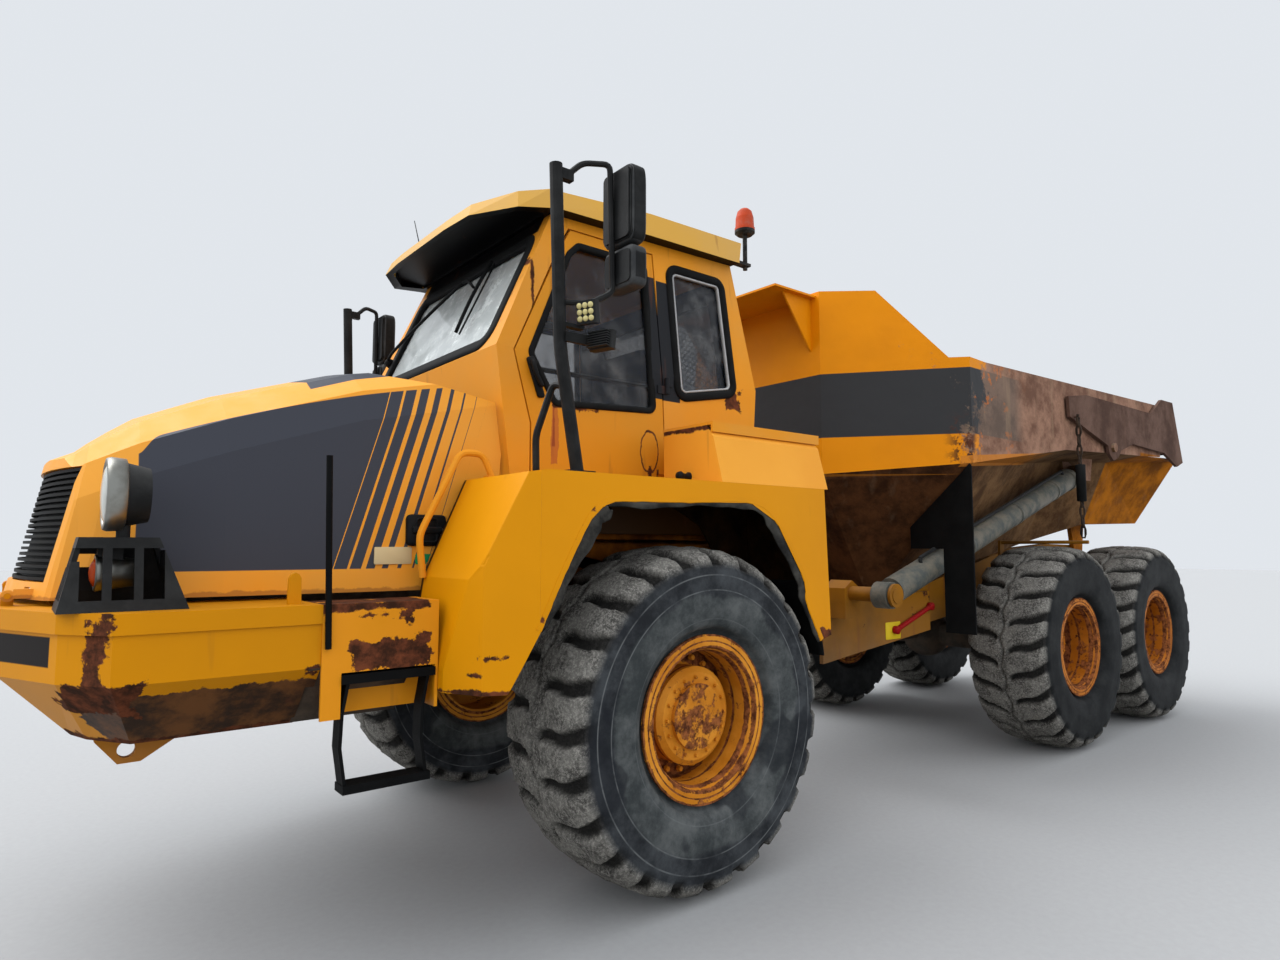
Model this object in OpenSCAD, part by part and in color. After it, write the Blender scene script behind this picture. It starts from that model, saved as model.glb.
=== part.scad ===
// Articulated dump truck, unladen, standing straight with its body down.
// X points forward, Y to the left and Z up; the origin is on the ground below the middle.
// Inside the modules x is measured from the front axle, and on_axle() moves a piece into place.

/* [Wheels] */
// Radius over the tread lugs
tyre_r = 790; // [760:5:820]
// Width of a tyre
tyre_w = 600; // [560:5:620]
// Middle of a tyre from the centre line
track_half = 1080; // [1060:5:1120]
// Radius of the bead seat, a 25 inch rim
rim_seat_r = 317.5; // [305:0.5:330]
// Lugs round each shoulder
lug_count = 24; // [18:1:28]
// Depth of the worn tread
lug_depth = 26; // [15:1:35]

/* [Axles] */
// Front axle to middle axle
wheelbase = 4070; // [4000:10:4300]
// Middle axle to rear axle
bogie_base = 1700; // [1660:10:1800]
// Radius of an axle tube
axle_tube_r = 105; // [80:1:120]
// Radius of a wheel spindle
spindle_r = 65; // [50:1:80]

/* [Articulation] */
// Steering pivot behind the front axle
pivot_back = 1550; // [1500:10:1600]
// Front face of the turning ring behind the front axle
ring_back = 950; // [920:5:980]
// Height of the turning ring and the steering pivot
hitch_z = 970; // [950:5:990]
// Radius of the turning ring
ring_r = 300; // [250:5:330]
// Radius of the steering pivot pin
pivot_r = 50; // [35:1:60]

/* [Steering cylinders] */
// Rod pin behind the front axle
steer_rod_back = 1300; // [1280:5:1320]
// Barrel pin behind the front axle
steer_barrel_back = 2550; // [2500:10:2600]
// Sideways place of both pins
steer_y = 345; // [330:5:355]
// Outer radius of a steering barrel
steer_barrel_r = 55; // [45:1:60]
// Radius of a steering rod
steer_rod_r = 30; // [20:1:35]

/* [Tipping gear] */
// Body hinge behind the front axle
hinge_back = 6100; // [6050:5:6150]
// Height of the body hinge
hinge_z = 1500; // [1480:5:1510]
// Lower pin of a tip cylinder behind the front axle
tip_low_back = 1850; // [1800:10:1900]
// Height of the lower pin
tip_low_z = 1265; // [1250:5:1280]
// Upper pin of a tip cylinder behind the front axle
tip_high_back = 4850; // [4800:10:4900]
// Height of the upper pin
tip_high_z = 2225; // [2200:5:2230]
// Sideways place of the tip cylinders
tip_y = 1050; // [1040:1:1060]
// Outer radius of a tip barrel
tip_barrel_r = 87; // [70:1:88]
// Radius of a tip rod
tip_rod_r = 55; // [40:1:60]

/* [Dump body] */
// Half width over the side walls
body_half = 1370; // [1350:5:1380]
// Thickness of the body plates
body_t = 14; // [10:1:20]
// Front wall behind the front axle
body_front = 1830; // [1810:5:1900]
// Tail of the chute behind the front axle
tail_reach = 6630; // [6600:10:6700]
// Height of the side walls at their front end
wall_top_z = 2840; // [2800:5:2900]
// Height of the headboard
headboard_z = 3375; // [3300:5:3450]

/* [Front end] */
// Foremost point of the bumper ahead of the front axle
front_overhang = 2545; // [2530:5:2600]
// Half width of the bumper and the side panels
bumper_half = 1100; // [1080:5:1120]
// Height of the bumper deck
deck_z = 1370; // [1350:5:1375]
// Thickness of the sheet panels
sheet = 12; // [6:1:16]
// Radius of a tow eye
tow_eye_r = 28; // [20:1:35]
// Thickness of a tow plate
tow_plate_t = 30; // [20:1:40]

/* [Fenders] */
// Half width over the fenders
fender_half = 1380; // [1375:1:1390]
// Inner side of the fenders
fender_in = 810; // [806:1:820]
// Height of the fender tops
fender_top = 1878; // [1850:1:1890]

/* [Cab] */
// Half width of the cab at its sill
cab_half = 800; // [780:5:815]
// Half width of the cab at its roof
cab_top_half = 745; // [720:5:760]
// Thickness of the cab walls and the door
cab_wall = 45; // [30:1:60]
// Thickness of the window glass
glass = 6; // [5:1:8]
// Gap round the door
door_gap = 8; // [7:1:10]

/* [Bonnet] */
// Half width of the bonnet at the cab
bonnet_half = 780; // [760:5:800]
// Thickness of the bonnet shell
bonnet_t = 14; // [8:1:20]

/* [Hidden] */
$fn = 32;
// Clearance of a fit and of a seat
fit = 0.3;
// Every x value below is measured from the front axle, which lies here
front_axle_x = (tail_reach - front_overhang) / 2;
axle_z = tyre_r;
middle_x = -wheelbase;
rear_x = -wheelbase - bogie_base;
yellow = [0.85, 0.59, 0.0];
amber = [0.90, 0.63, 0.20];
rust = [0.33, 0.22, 0.18];
black = [0.09, 0.09, 0.10];
steel = [0.45, 0.48, 0.46];
glass_tint = [0.20, 0.24, 0.27, 0.6];

// Placing helpers
module on_axle() translate([front_axle_x, 0, 0]) children();
module both_sides() {
  children();
  mirror([0, 1, 0]) children();
}
// A side of the truck: 1 is left, -1 is right
module on_side(side) mirror([0, side < 0 ? 1 : 0, 0]) children();
// A plate with an outline in x and z, between two values of y
module side_plate(outline, y0, y1)
  translate([0, y1, 0]) rotate([90, 0, 0]) linear_extrude(y1 - y0) polygon(outline);
// A bar along y
module cross_bar(x, z, r, y0, y1) translate([x, y0, z]) rotate([-90, 0, 0]) cylinder(r = r, h = y1 - y0);
// A bar between two points, turned on its own axis
module bar(p, q, r, turn = 0) {
  d = q - p;
  translate(p) rotate([0, acos(d[2] / norm(d)), atan2(d[1], d[0])]) rotate([0, 0, turn]) cylinder(r = r, h = norm(d));
}
// A shell or solid through rings that all have the same number of points.
// The rings run from front to rear, and each runs anticlockwise seen from the front,
// its first two points a pair and the rest in pairs across the middle.
module loft(rings) {
  n = len(rings[0]);
  m = len(rings);
  points = [for (ring = rings) each ring];
  sides = [for (k = [0 : m - 2], i = [0 : n - 1])
    let (j = (i + 1) % n, a = k * n)
      each [[a + j, a + n + i, a + i], [a + n + j, a + n + i, a + j]]];
  // The ends are strips from side to side, because a ring that leans isn't flat
  strips = [for (k = [1 : n / 2 - 1]) [n - k, k + 1, k, (n + 1 - k) % n]];
  front_cap = strips;
  rear_cap = [for (q = strips) [for (i = [3 : -1 : 0]) (m - 1) * n + q[i]]];
  polyhedron(points = points, faces = concat(front_cap, sides, rear_cap), convexity = 4);
}

// A round rail along a path, its corners bent over a distance d; side is a direction that the path never takes
function unit(v) = v / norm(v);
function bent(p, d) = [p[0], for (i = [1 : len(p) - 2])
  let (a = p[i] + unit(p[i - 1] - p[i]) * d, c = p[i] + unit(p[i + 1] - p[i]) * d)
    for (t = [0 : 0.25 : 1]) (1 - t) * (1 - t) * a + 2 * t * (1 - t) * p[i] + t * t * c, p[len(p) - 1]];
module rail(path, r, side = [0, 1, 0], n = 10) {
  m = len(path);
  rings = [for (i = [0 : m - 1]) let (
    d = unit((i < m - 1 ? unit(path[i + 1] - path[i]) : [0, 0, 0]) + (i > 0 ? unit(path[i] - path[i - 1]) : [0, 0, 0])),
    b = unit(side - (side * d) * d), a = cross(d, b))
      for (k = [0 : n - 1]) path[i] + r * (cos(k * 360 / n) * a + sin(k * 360 / n) * b)];
  polyhedron(points = rings, convexity = 4, faces = concat([[for (k = [n - 1 : -1 : 0]) k]],
    [for (i = [0 : m - 2], k = [0 : n - 1]) let (j = (k + 1) % n) [i * n + j, (i + 1) * n + j, (i + 1) * n + k, i * n + k]],
    [[for (k = [0 : n - 1]) (m - 1) * n + k]]));
}

// Wheels, drawn at the origin with their outer side towards +Y
rim_half = 235;
flange_r = rim_seat_r + 63.5;
barrel_in_r = rim_seat_r - 16;
hub_in = 55;
module wheel_spin(n) rotate([-90, 0, 0]) rotate_extrude($fn = n) children();
module tyre(skew) {
  shoulder = tyre_w / 2;
  crown = [[tyre_r - 52, shoulder - 28], [tyre_r - 14, shoulder - 70], [tyre_r, 60]];
  wall = [[rim_seat_r + 0.3, rim_half - 20], [flange_r, rim_half - 12], [flange_r + 40, rim_half + 40],
    [tyre_r - 190, shoulder], [tyre_r - 90, shoulder - 6]];
  half = concat(wall, crown);
  back = [for (i = [len(half) - 1 : -1 : 0]) [half[i][0], -half[i][1]]];
  difference() {
    wheel_spin(lug_count * 2) polygon(concat(half, back));
    for (side = [0, 1], i = [0 : lug_count - 1])
      mirror([0, side, 0]) rotate([0, (i + side / 2) * 360 / lug_count, 0]) groove(skew);
  }
}
// One groove between two lugs, which opens out of the shoulder
module groove(skew) {
  reach = tyre_w / 2 + 40;
  translate([tyre_r - lug_depth, 0, 0]) rotate([0, 0, 7]) rotate([90, 0, 90]) linear_extrude(140)
    polygon([[40, -10], [reach, skew - 26], [reach, skew + 26], [40, 10]]);
}
module rim_barrel() polygon([
  [barrel_in_r, -rim_half - 14], [flange_r, -rim_half - 14], [flange_r, -rim_half], [rim_seat_r, -rim_half + 14],
  [rim_seat_r, rim_half - 14], [flange_r, rim_half], [flange_r, rim_half + 14], [barrel_in_r + 20, rim_half + 14],
  [barrel_in_r, rim_half - 30]]);
// The front wheels carry the round cover of the hub reduction near the outer side
module front_rim() wheel_spin(48) {
  rim_barrel();
  polygon([[150, 20], [barrel_in_r + 4, -15], [barrel_in_r + 4, 15], [225, 55], [225, 150], [200, 170],
    [150, 170], [150, 192], [0, 192], [0, hub_in], [spindle_r + fit, hub_in], [spindle_r + fit, -60], [150, -60]]);
}
// The rear wheels are dished deep inwards
module rear_rim() wheel_spin(48) {
  rim_barrel();
  polygon([[150, -75], [barrel_in_r + 4, -105], [barrel_in_r + 4, -75], [235, -40], [170, -40], [150, 60],
    [130, 78], [0, 78], [0, hub_in], [spindle_r + fit, hub_in], [spindle_r + fit, -105], [150, -105]]);
}
module at_wheel(x, side) on_axle() translate([x, side * track_half, axle_z]) on_side(side) children();
module tyre_front_left() color(black) at_wheel(0, 1) tyre(34);
module tyre_front_right() color(black) at_wheel(0, -1) tyre(34);
module tyre_middle_left() color(black) at_wheel(middle_x, 1) tyre(110);
module tyre_middle_right() color(black) at_wheel(middle_x, -1) tyre(110);
module tyre_rear_left() color(black) at_wheel(rear_x, 1) tyre(110);
module tyre_rear_right() color(black) at_wheel(rear_x, -1) tyre(110);
module rim_front_left() color(amber) at_wheel(0, 1) front_rim();
module rim_front_right() color(amber) at_wheel(0, -1) front_rim();
module rim_middle_left() color(amber) at_wheel(middle_x, 1) rear_rim();
module rim_middle_right() color(amber) at_wheel(middle_x, -1) rear_rim();
module rim_rear_left() color(amber) at_wheel(rear_x, 1) rear_rim();
module rim_rear_right() color(amber) at_wheel(rear_x, -1) rear_rim();

// Axles: a tube with a round gear case, a flange at each end and the spindles in the hubs
module axle(hub_from) {
  end = track_half + hub_from;
  difference() {
    union() {
      cross_bar(0, axle_z, axle_tube_r, -end + 60, end - 60);
      translate([0, 0, axle_z]) sphere(r = axle_tube_r * 2, $fn = 40);
      for (side = [-1, 1]) {
        cross_bar(0, axle_z, 150, side * (end - 40) - 30, side * (end - 40) + 30);
        cross_bar(0, axle_z, spindle_r, min(side * (end - 60), side * (track_half + hub_in - 5)),
          max(side * (end - 60), side * (track_half + hub_in - 5)));
      }
    }
    cross_bar(0, axle_z, 25, -40, 40);
  }
}
strut_y = 520;
strut_top = 1195;
rail_y = 340;
rail_w = 80;
rail_low = 1000;
rail_high = 1230;
module front_axle() color(rust) on_axle() {
  axle(-70);
  for (side = [-1, 1]) bar([-140, side * strut_y, axle_z + 60], [-140, side * strut_y, strut_top], 50);
  both_sides() side_plate([[-190, axle_z - 60], [60, axle_z - 60], [60, axle_z + 70], [-190, axle_z + 70]],
    strut_y - 55, strut_y + 55);
}

// Front frame: two rails with cross members, tow plates at the nose and the fixed half of the ring
nose_back = 1905;
module front_frame() color(yellow) on_axle() difference() {
  union() {
    both_sides() {
      rail_out = rail_y + rail_w + fit;
      side_plate([[-ring_back + 70 + 2 * fit, rail_low - 180], [-ring_back + 70 + 2 * fit, rail_high], [2260, rail_high],
        [2260, rail_low], [-500, rail_low]], rail_y, rail_y + rail_w);
      side_plate([[nose_back, 1130], [2260, 1130], [2260, 900], [2190, 815], [2120, 815], [nose_back, 950]],
        620 - tow_plate_t / 2, 620 + tow_plate_t / 2);
      // Brackets over the suspension, the nose cross bar out to the tow plates
      translate([-210, rail_out, strut_top + fit]) cube([140, strut_y + 70 - rail_out, 30]);
      translate([2160, rail_out, 1060]) cube([100, 620 - tow_plate_t / 2 - fit - rail_out, 110]);
      // Arms out to the fenders and posts up to the cab
      for (x = [[1010, 140], [-850, 60]]) translate([x[0], rail_out, rail_high - 80])
        cube([x[1], fender_in - fit - rail_out, 80]);
      for (x = [560, -700]) translate([x, rail_y, rail_high + fit]) cube([100, rail_w, cab_low - 2 * fit - rail_high]);
    }
    for (x = [2160, 1860, 900, -300]) translate([x, -rail_y + fit, rail_low + 60]) cube([100, 2 * (rail_y - fit), 110]);
    translate([-ring_back + fit, -rail_y - rail_w, hitch_z - 260]) cube([70, 2 * (rail_y + rail_w), 520]);
  }
  for (side = [-1, 1]) cross_bar(2165, 862, tow_eye_r, side * 620 - 50, side * 620 + 50);
  translate([-ring_back - 20, 0, hitch_z]) rotate([0, 90, 0]) cylinder(r = ring_r / 2 + fit, h = 140);
}
module engine() color(steel) on_axle() translate([850, -320, rail_low + 170 + fit]) cube([1100, 640, 800]);

// Hitch: the turning half of the ring, a tongue with the steering pivot's bore and the cylinders' arms
module hitch() color(yellow) on_axle() difference() {
  union() {
    translate([-ring_back - 60, 0, hitch_z]) rotate([0, 90, 0]) cylinder(r = ring_r, h = 60 - fit);
    translate([-ring_back - 60, 0, hitch_z]) rotate([0, 90, 0]) cylinder(r = ring_r / 2, h = 125);
    translate([-pivot_back, -95, hitch_z - 90]) cube([pivot_back - ring_back - 40, 190, 180]);
    translate([-pivot_back, 0, hitch_z - 90]) cylinder(r = 95, h = 180);
    both_sides() for (z = [hitch_z - 62, hitch_z + 36])
      translate([0, 0, z]) linear_extrude(26) polygon([[-ring_back - 50, 60], [-ring_back - 50, 270],
        [-steer_rod_back + 20, steer_y + 55], [-steer_rod_back - 45, steer_y + 40], [-steer_rod_back - 45, 200],
        [-ring_back - 220, 90]]);
  }
  translate([-pivot_back, 0, hitch_z - 100]) cylinder(r = pivot_r + fit, h = 200);
}

// Rear frame: fork and neck at the pivot, side plates, rails, body hinge and cylinder outriggers
side_y = 600;
rear_rail_y = 400;
rear_rail_w = 90;
floor_back = 2560;
module rear_frame() color(yellow) on_axle() difference() {
  union() {
    for (z = [hitch_z - 160, hitch_z + 95]) translate([0, 0, z]) linear_extrude(65) union() {
      translate([-pivot_back, 0]) circle(r = 110);
      translate([-steer_barrel_back - 60, -120]) square([steer_barrel_back + 60 - pivot_back, 240]);
    }
    translate([-steer_barrel_back - 60, -120, hitch_z - 100]) cube([steer_barrel_back - pivot_back - 110, 240, 200]);
    translate([-pivot_back, 0, hitch_z - 160]) cylinder(r = pivot_r, h = 320);
    both_sides() {
      side_plate([[-1750, 790], [-1750, 1190], [-1960, 1330], [-2250, 1200], [-3080, 1230], [-3080, 930]],
        side_y, side_y + 30);
      side_plate([[-2500, 880], [-2500, 1110], [-floor_back - 60, 1140], [-4700, 1555], [-5500, 1600],
        [-hinge_back - 60, 1590], [-hinge_back - 100, 1400], [-5500, 1230], [-4300, 1080], [-3000, 930]],
        rear_rail_y, rear_rail_y + rear_rail_w);
      side_plate([[-tip_low_back - 80, 1100], [-tip_low_back + 80, 1100], [-tip_low_back + 80, 1300],
        [-tip_low_back, 1350], [-tip_low_back - 80, 1300]], side_y + 30, side_y + 200);
      cross_bar(-tip_low_back, tip_low_z, 48, side_y, tip_y + 90);
      cross_bar(-tip_low_back, tip_low_z, 75, tip_y + 65, tip_y + 85);
      side_plate([[-hinge_back - 75, hinge_z], [-hinge_back - 50, hinge_z + 75], [-hinge_back + 75, hinge_z + 75],
        [-hinge_back + 75, hinge_z - 75]], rear_rail_y - 30, rear_rail_y + rear_rail_w + 5);
      cross_bar(-hinge_back, hinge_z, 45, rear_rail_y, rear_rail_y + rear_rail_w + 60);
      cross_bar(middle_x + 20, 1610, 14, 735, arm_y + 45);
      side_plate([[middle_x - 40, 1080], [middle_x + 100, 1080], [middle_x + 50, 1625], [middle_x - 10, 1625]],
        725, 745);
      side_plate([[middle_x - 40, 1080], [middle_x + 100, 1080], [middle_x + 100, 1200], [middle_x - 40, 1200]],
        rear_rail_y + rear_rail_w, 730);
    }
    for (x = [-steer_barrel_back - 145, -3060]) translate([x, -side_y - 10, hitch_z - 20])
      cube([80, 2 * side_y + 20, 130]);
    for (x = [-4000, -5060, -6000]) translate([x, -rear_rail_y - 10, x < -5500 ? 1420 : 1200])
      cube([90, 2 * rear_rail_y + 20, 120]);
    both_sides() for (z = [hitch_z - 70, hitch_z + 44]) translate([-steer_barrel_back - 75, 100, z])
      cube([125, steer_y - 45, 26]);
    both_sides() translate([-steer_barrel_back, steer_y, hitch_z - 70]) cylinder(r = 22, h = 140);
    cross_bar((middle_x + rear_x) / 2, 1130, 60, -rear_rail_y - 250, rear_rail_y + 250);
    both_sides() for (x = [-3000, -4400]) translate([x - 60, rear_rail_y + 10, floor_z(x) - 40])
      rotate([0, 11.1, 0]) cube([120, 70, 40 - 2]);
  }
}
// Height of the dump body's floor above a place between the front edge and the kink
function floor_z(x) = floor_low + (floor_mid - floor_low) * (-x - floor_back) / (tip_high_back - 100 - floor_back);
floor_low = 1180;
floor_mid = 1610;

// Bogie: two axles, the walking beams and the shafts between them
module bogie() color(rust) on_axle() {
  mid_x = (middle_x + rear_x) / 2;
  for (x = [middle_x, rear_x]) translate([x, 0, 0]) axle(-100);
  both_sides() difference() {
    side_plate([[middle_x + 110, 720], [middle_x + 110, 880], [middle_x - 300, 1010], [mid_x + 90, 1215],
      [mid_x - 90, 1215], [rear_x + 300, 1010], [rear_x - 110, 880], [rear_x - 110, 720], [rear_x + 200, 640],
      [middle_x - 200, 640]], 580, 680);
    cross_bar(mid_x, 1130, 60 + fit, 500, 720);
    for (x = [middle_x, rear_x]) {
      cross_bar(x, axle_z, axle_tube_r + fit, 500, 720);
      translate([x - axle_tube_r / 2, 570, 500]) cube([axle_tube_r, 120, axle_z - 500]);
    }
  }
  bar([middle_x - 150, 0, axle_z], [rear_x + axle_tube_r * 2 + fit, 0, axle_z], 45);
  bar([-steer_barrel_back - 500, 0, axle_z + 20], [middle_x + 150, 0, axle_z], 45);
}

// Bumper: a deck with a lip over chamfered walls, and a skirt that is bevelled far inwards
skirt_z = 1150;
skirt_low = 930;
skirt_bevel = 210;
lip_h = 66;
bumper_rear = 1650;
hinge_pin = [2520, 1405];
function bumper_outline(grow, low) = let (h = bumper_half - grow, f = front_overhang - grow) [
  [bumper_rear, -h + low], [2270 - grow * 0.6 - low * 0.4, -h + low],
  [2400 - grow * 0.8 - low * 0.5, -930 + grow * 0.7 + low], [f - low, -600 + grow * 0.3],
  [f - low, 600 - grow * 0.3], [2400 - grow * 0.8 - low * 0.5, 930 - grow * 0.7 - low],
  [2270 - grow * 0.6 - low * 0.4, h - low], [bumper_rear, h - low]];
function bumper_ring(grow, z) = [for (p = bumper_outline(grow, z < skirt_z
  ? (skirt_z - z) / (skirt_z - skirt_low) * skirt_bevel : 0)) [p[0], p[1], z]];
module bumper() color(yellow) on_axle() difference() {
  union() {
    difference() {
      union() {
        translate([0, 0, deck_z - lip_h]) linear_extrude(lip_h) polygon(bumper_outline(0, 0));
        loft([bumper_ring(9, deck_z - 8), bumper_ring(9, skirt_z), bumper_ring(9, skirt_low)]);
      }
      loft([bumper_ring(9 + sheet, deck_z - sheet), bumper_ring(9 + sheet, skirt_z), bumper_ring(9 + sheet, skirt_low - 20)]);
      translate([bumper_rear - 10, -bumper_half + 80, 800]) cube([40, 2 * bumper_half - 160, deck_z - 800 - sheet]);
      // The engine bay is open below the bonnet
      translate([bumper_rear - 10, -610, 1200]) cube([760, 1220, 300]);
      translate([front_overhang - 60, -560, 1195]) cube([100, 1120, 95]);
    }
    both_sides() {
      translate([nose_back + 5, 620 + tow_plate_t / 2 + fit, 1000]) cube([2250 - nose_back, sheet, deck_z - 1004]);
      translate([hinge_pin[0] - 18, 420, deck_z - 4]) cube([36, 40, hinge_pin[1] - deck_z + 4]);
      cross_bar(hinge_pin[0], hinge_pin[1], 18, 420, 460);
      cross_bar(hinge_pin[0], hinge_pin[1], 10, 440, 505);
      side_plate([[1700, deck_z - 4], [1745, deck_z - 4], [1743, 1462], [1735, 1476], [1722, 1482], [1710, 1476],
        [1702, 1462]], 990, 1010);
    }
  }
}
// Side panels behind the bumper with the walkway on top, and a recess for the upper step
recess = [1227, 1580, 985, 1125];
module side_panels() color(yellow) on_axle() both_sides() difference() {
  union() {
    difference() {
      translate([1215, 870, 965]) cube([bumper_rear - 1215 - fit, bumper_half - 870, deck_z - 965]);
      translate([1200, 860, 950]) cube([bumper_rear - 1180, bumper_half - 860 - sheet, deck_z - 950 - sheet]);
    }
    translate([1215, recess[2] - sheet, 965])
      cube([recess[1] + sheet - 1215, bumper_half - 1 - recess[2] + sheet, recess[3] + sheet - 965]);
  }
  translate([recess[0], recess[2], 900]) cube([recess[1] - recess[0], 200, recess[3] - 900]);
}

// Fenders: one outline in side view with the arch cut out, and a bevelled front corner in plan view
fender_front = 1210;
fender_rear = 856;
module fenders() color(yellow) on_axle() both_sides() intersection() {
  difference() {
    side_plate([[fender_front, 1110], [fender_front - 50, 1450], [975, fender_top - 12], [900, fender_top],
      [-820, fender_top], [-fender_rear, 1114], [-770, 1090], [-662, 1290], [-640, 1410], [-440, 1695],
      [-253, 1785], [557, 1765], [629, 1742], [699, 1678], [818, 1468], [941, 1219], [995, 1108]],
      fender_in, fender_half);
    // Hollow towards the wheel: only top, ends and the two sides are sheet
    side_plate([[fender_front - sheet, 1000], [fender_front - 50 - sheet, 1448], [968, fender_top - 26],
      [898, fender_top - sheet], [-808, fender_top - sheet], [-fender_rear + sheet, 1114], [-fender_rear + sheet, 1000]],
      fender_in + sheet, fender_half - sheet);
  }
  translate([0, 0, 900]) linear_extrude(1200) polygon([[-1000, fender_in - 10], [1300, fender_in - 10], [1230, 1100],
    [1130, 1300], [930, fender_half], [-1000, fender_half]]);
}
// Storage boxes on the rear of the fenders, open at the top under a lid
box_front = 60;
box_rear = 850;
box_in = 960;
box_top = 2160;
function box_outline(grow) = [[box_in + grow, fender_top + fit + grow], [fender_half - grow, fender_top + fit + grow],
  [fender_half - 60 - grow, box_top - 60], [fender_half - 110 - grow, box_top + (grow > 0 ? 20 : 0)],
  [box_in + grow, box_top + (grow > 0 ? 20 : 0)]];
lid_pin = [box_in - 22, box_top + 7];
hinge_x = [-740, -180];
module storage_boxes() color(yellow) on_axle() both_sides() {
  difference() {
    translate([-box_rear, 0, 0]) rotate([90, 0, 90]) linear_extrude(box_rear - box_front) polygon(box_outline(0));
    translate([-box_rear + sheet, 0, 0]) rotate([90, 0, 90]) linear_extrude(box_rear - box_front - 2 * sheet)
      polygon(box_outline(sheet));
  }
  // Hinge leaves bent up from the inner wall, each with its knuckle and pin
  for (x = hinge_x) {
    translate([x, lid_pin[0] - 4, lid_pin[1] - 37]) cube([29.5, 8, 37]);
    translate([x, lid_pin[0] - 4, lid_pin[1] - 37]) cube([29.5, 28, 8]);
    translate([x, lid_pin[0], lid_pin[1]]) rotate([0, 90, 0]) cylinder(r = 9, h = 29.5);
    translate([x, lid_pin[0], lid_pin[1]]) rotate([0, 90, 0]) cylinder(r = 4, h = 58);
  }
}
module box_lid() difference() {
  union() {
    translate([-box_rear - 15, box_in - 10, box_top + fit]) cube([box_rear - box_front + 13, fender_half - 56 - box_in, 14]);
    translate([-box_rear - 15, fender_half - 78, box_top - 35]) cube([box_rear - box_front + 13, sheet, 48]);
    for (x = hinge_x) translate([x + 30, lid_pin[0], lid_pin[1]]) {
      rotate([0, 90, 0]) cylinder(r = 9, h = 29.5);
      translate([0, 0, -3]) cube([29.5, 14, 6]);
    }
  }
  for (x = hinge_x) translate([x + 25, lid_pin[0], lid_pin[1]]) rotate([0, 90, 0]) cylinder(r = 4 + fit, h = 40);
}
module box_lid_left() color(amber) on_axle() box_lid();
module box_lid_right() color(amber) on_axle() on_side(-1) box_lid();

// Bonnet: a lofted shell, its nose cut to a leaning cylinder.
// Columns: x at height 1660, half width, height of the crown and of the shoulder, lean
BONNET = [[2520, 520, 1885, 1790, 0.2], [2400, 562, 1950, 1850, 0.19], [2362, 612, 1985, 1872, 0.17],
  [2290, 652, 2035, 1905, 0.12], [2190, 684, 2095, 1950, 0.06], [1900, 722, 2215, 2060, 0],
  [1400, 755, 2380, 2230, 0], [700, bonnet_half, 2530, 2380, 0]];
bonnet_low = 1390;
nose_lean = 0.2;
nose_r = 1690;
nose_front = 2480;
function nose_x(z) = nose_front + nose_lean * (1660 - z);
function bonnet_ring(s, grow, low) = let (w = s[1] - grow, top = s[2] - grow, sh = s[3] - grow)
  [for (p = [[-w, low], [w, low], [w - 12, sh - 130], [w - 45, sh], [w * 0.72, sh + (top - sh) * 0.66],
    [w * 0.35, top - 6], [-w * 0.35, top - 6], [-w * 0.72, sh + (top - sh) * 0.66], [-w + 45, sh], [-w + 12, sh - 130]])
    [s[0] + s[4] * (1660 - p[1]), p[0], p[1]]];
grille_low = 1450;
grille_top = 1862;
grille_half = 556;
// Everything behind the nose's surface, moved back by a distance
module behind_nose(back) translate([nose_front - back, 0, 1660]) rotate([0, -atan(nose_lean), 0])
  translate([-nose_r, 0, -600]) cylinder(r = nose_r, h = 1500, $fn = 128);
module bonnet() color(amber) on_axle() difference() {
  union() {
    difference() {
      intersection() {
        loft([for (s = BONNET) bonnet_ring(s, 0, bonnet_low)]);
        behind_nose(0);
      }
      intersection() {
        loft([for (i = [0 : len(BONNET) - 1]) let (s = BONNET[i]) bonnet_ring(
          [s[0] - (i == len(BONNET) - 1 ? 40 : 0), s[1], s[2], s[3], s[4]], bonnet_t, bonnet_low - 40)]);
        behind_nose(bonnet_t);
      }
      // The seam to the cab runs down and forward
      side_plate([[600, 1300], [975, 1300], [975, 1440], [800, 1700], [774, 2000], [807, 2250], [845, 2520], [845, 2600],
        [600, 2600]], -1000, 1000);
      side_plate([[2250, grille_low], [2700, grille_low], [2700, grille_top], [2250, grille_top]], -grille_half, grille_half);
      both_sides() translate([2400, 412, 1300]) cube([200, 55, hinge_pin[1] + 27 - 1300]);
    }
    both_sides() {
      cross_bar(hinge_pin[0], hinge_pin[1], 20, 470, 500);
      side_plate([[2430, bonnet_low + 5], [2505, bonnet_low + 5], [2505, 1428], [2430, 1428]], 470, 500);
    }
  }
  both_sides() cross_bar(hinge_pin[0], hinge_pin[1], 10 + fit, 466, 507);
}
// Grille: a curved plate behind the nose's surface with ribs that follow its curve
rib_n = 19;
rib_back = 12;
module grille() color(black) on_axle() intersection() {
  side_plate([[2250, grille_low + fit], [2700, grille_low + fit], [2700, grille_top - fit], [2250, grille_top - fit]],
    -grille_half + fit, grille_half - fit);
  union() {
    difference() {
      behind_nose(rib_back + 22);
      behind_nose(rib_back + 34);
    }
    step = (grille_top - grille_low) / rib_n;
    for (i = [0 : rib_n - 1]) let (z = grille_low + (i + 0.25) * step) translate([nose_x(z) - nose_r, 0, z])
      linear_extrude(step * 0.5) difference() {
        circle(r = nose_r - rib_back, $fn = 128);
        circle(r = nose_r - rib_back - 28, $fn = 128);
      }
  }
}

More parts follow.
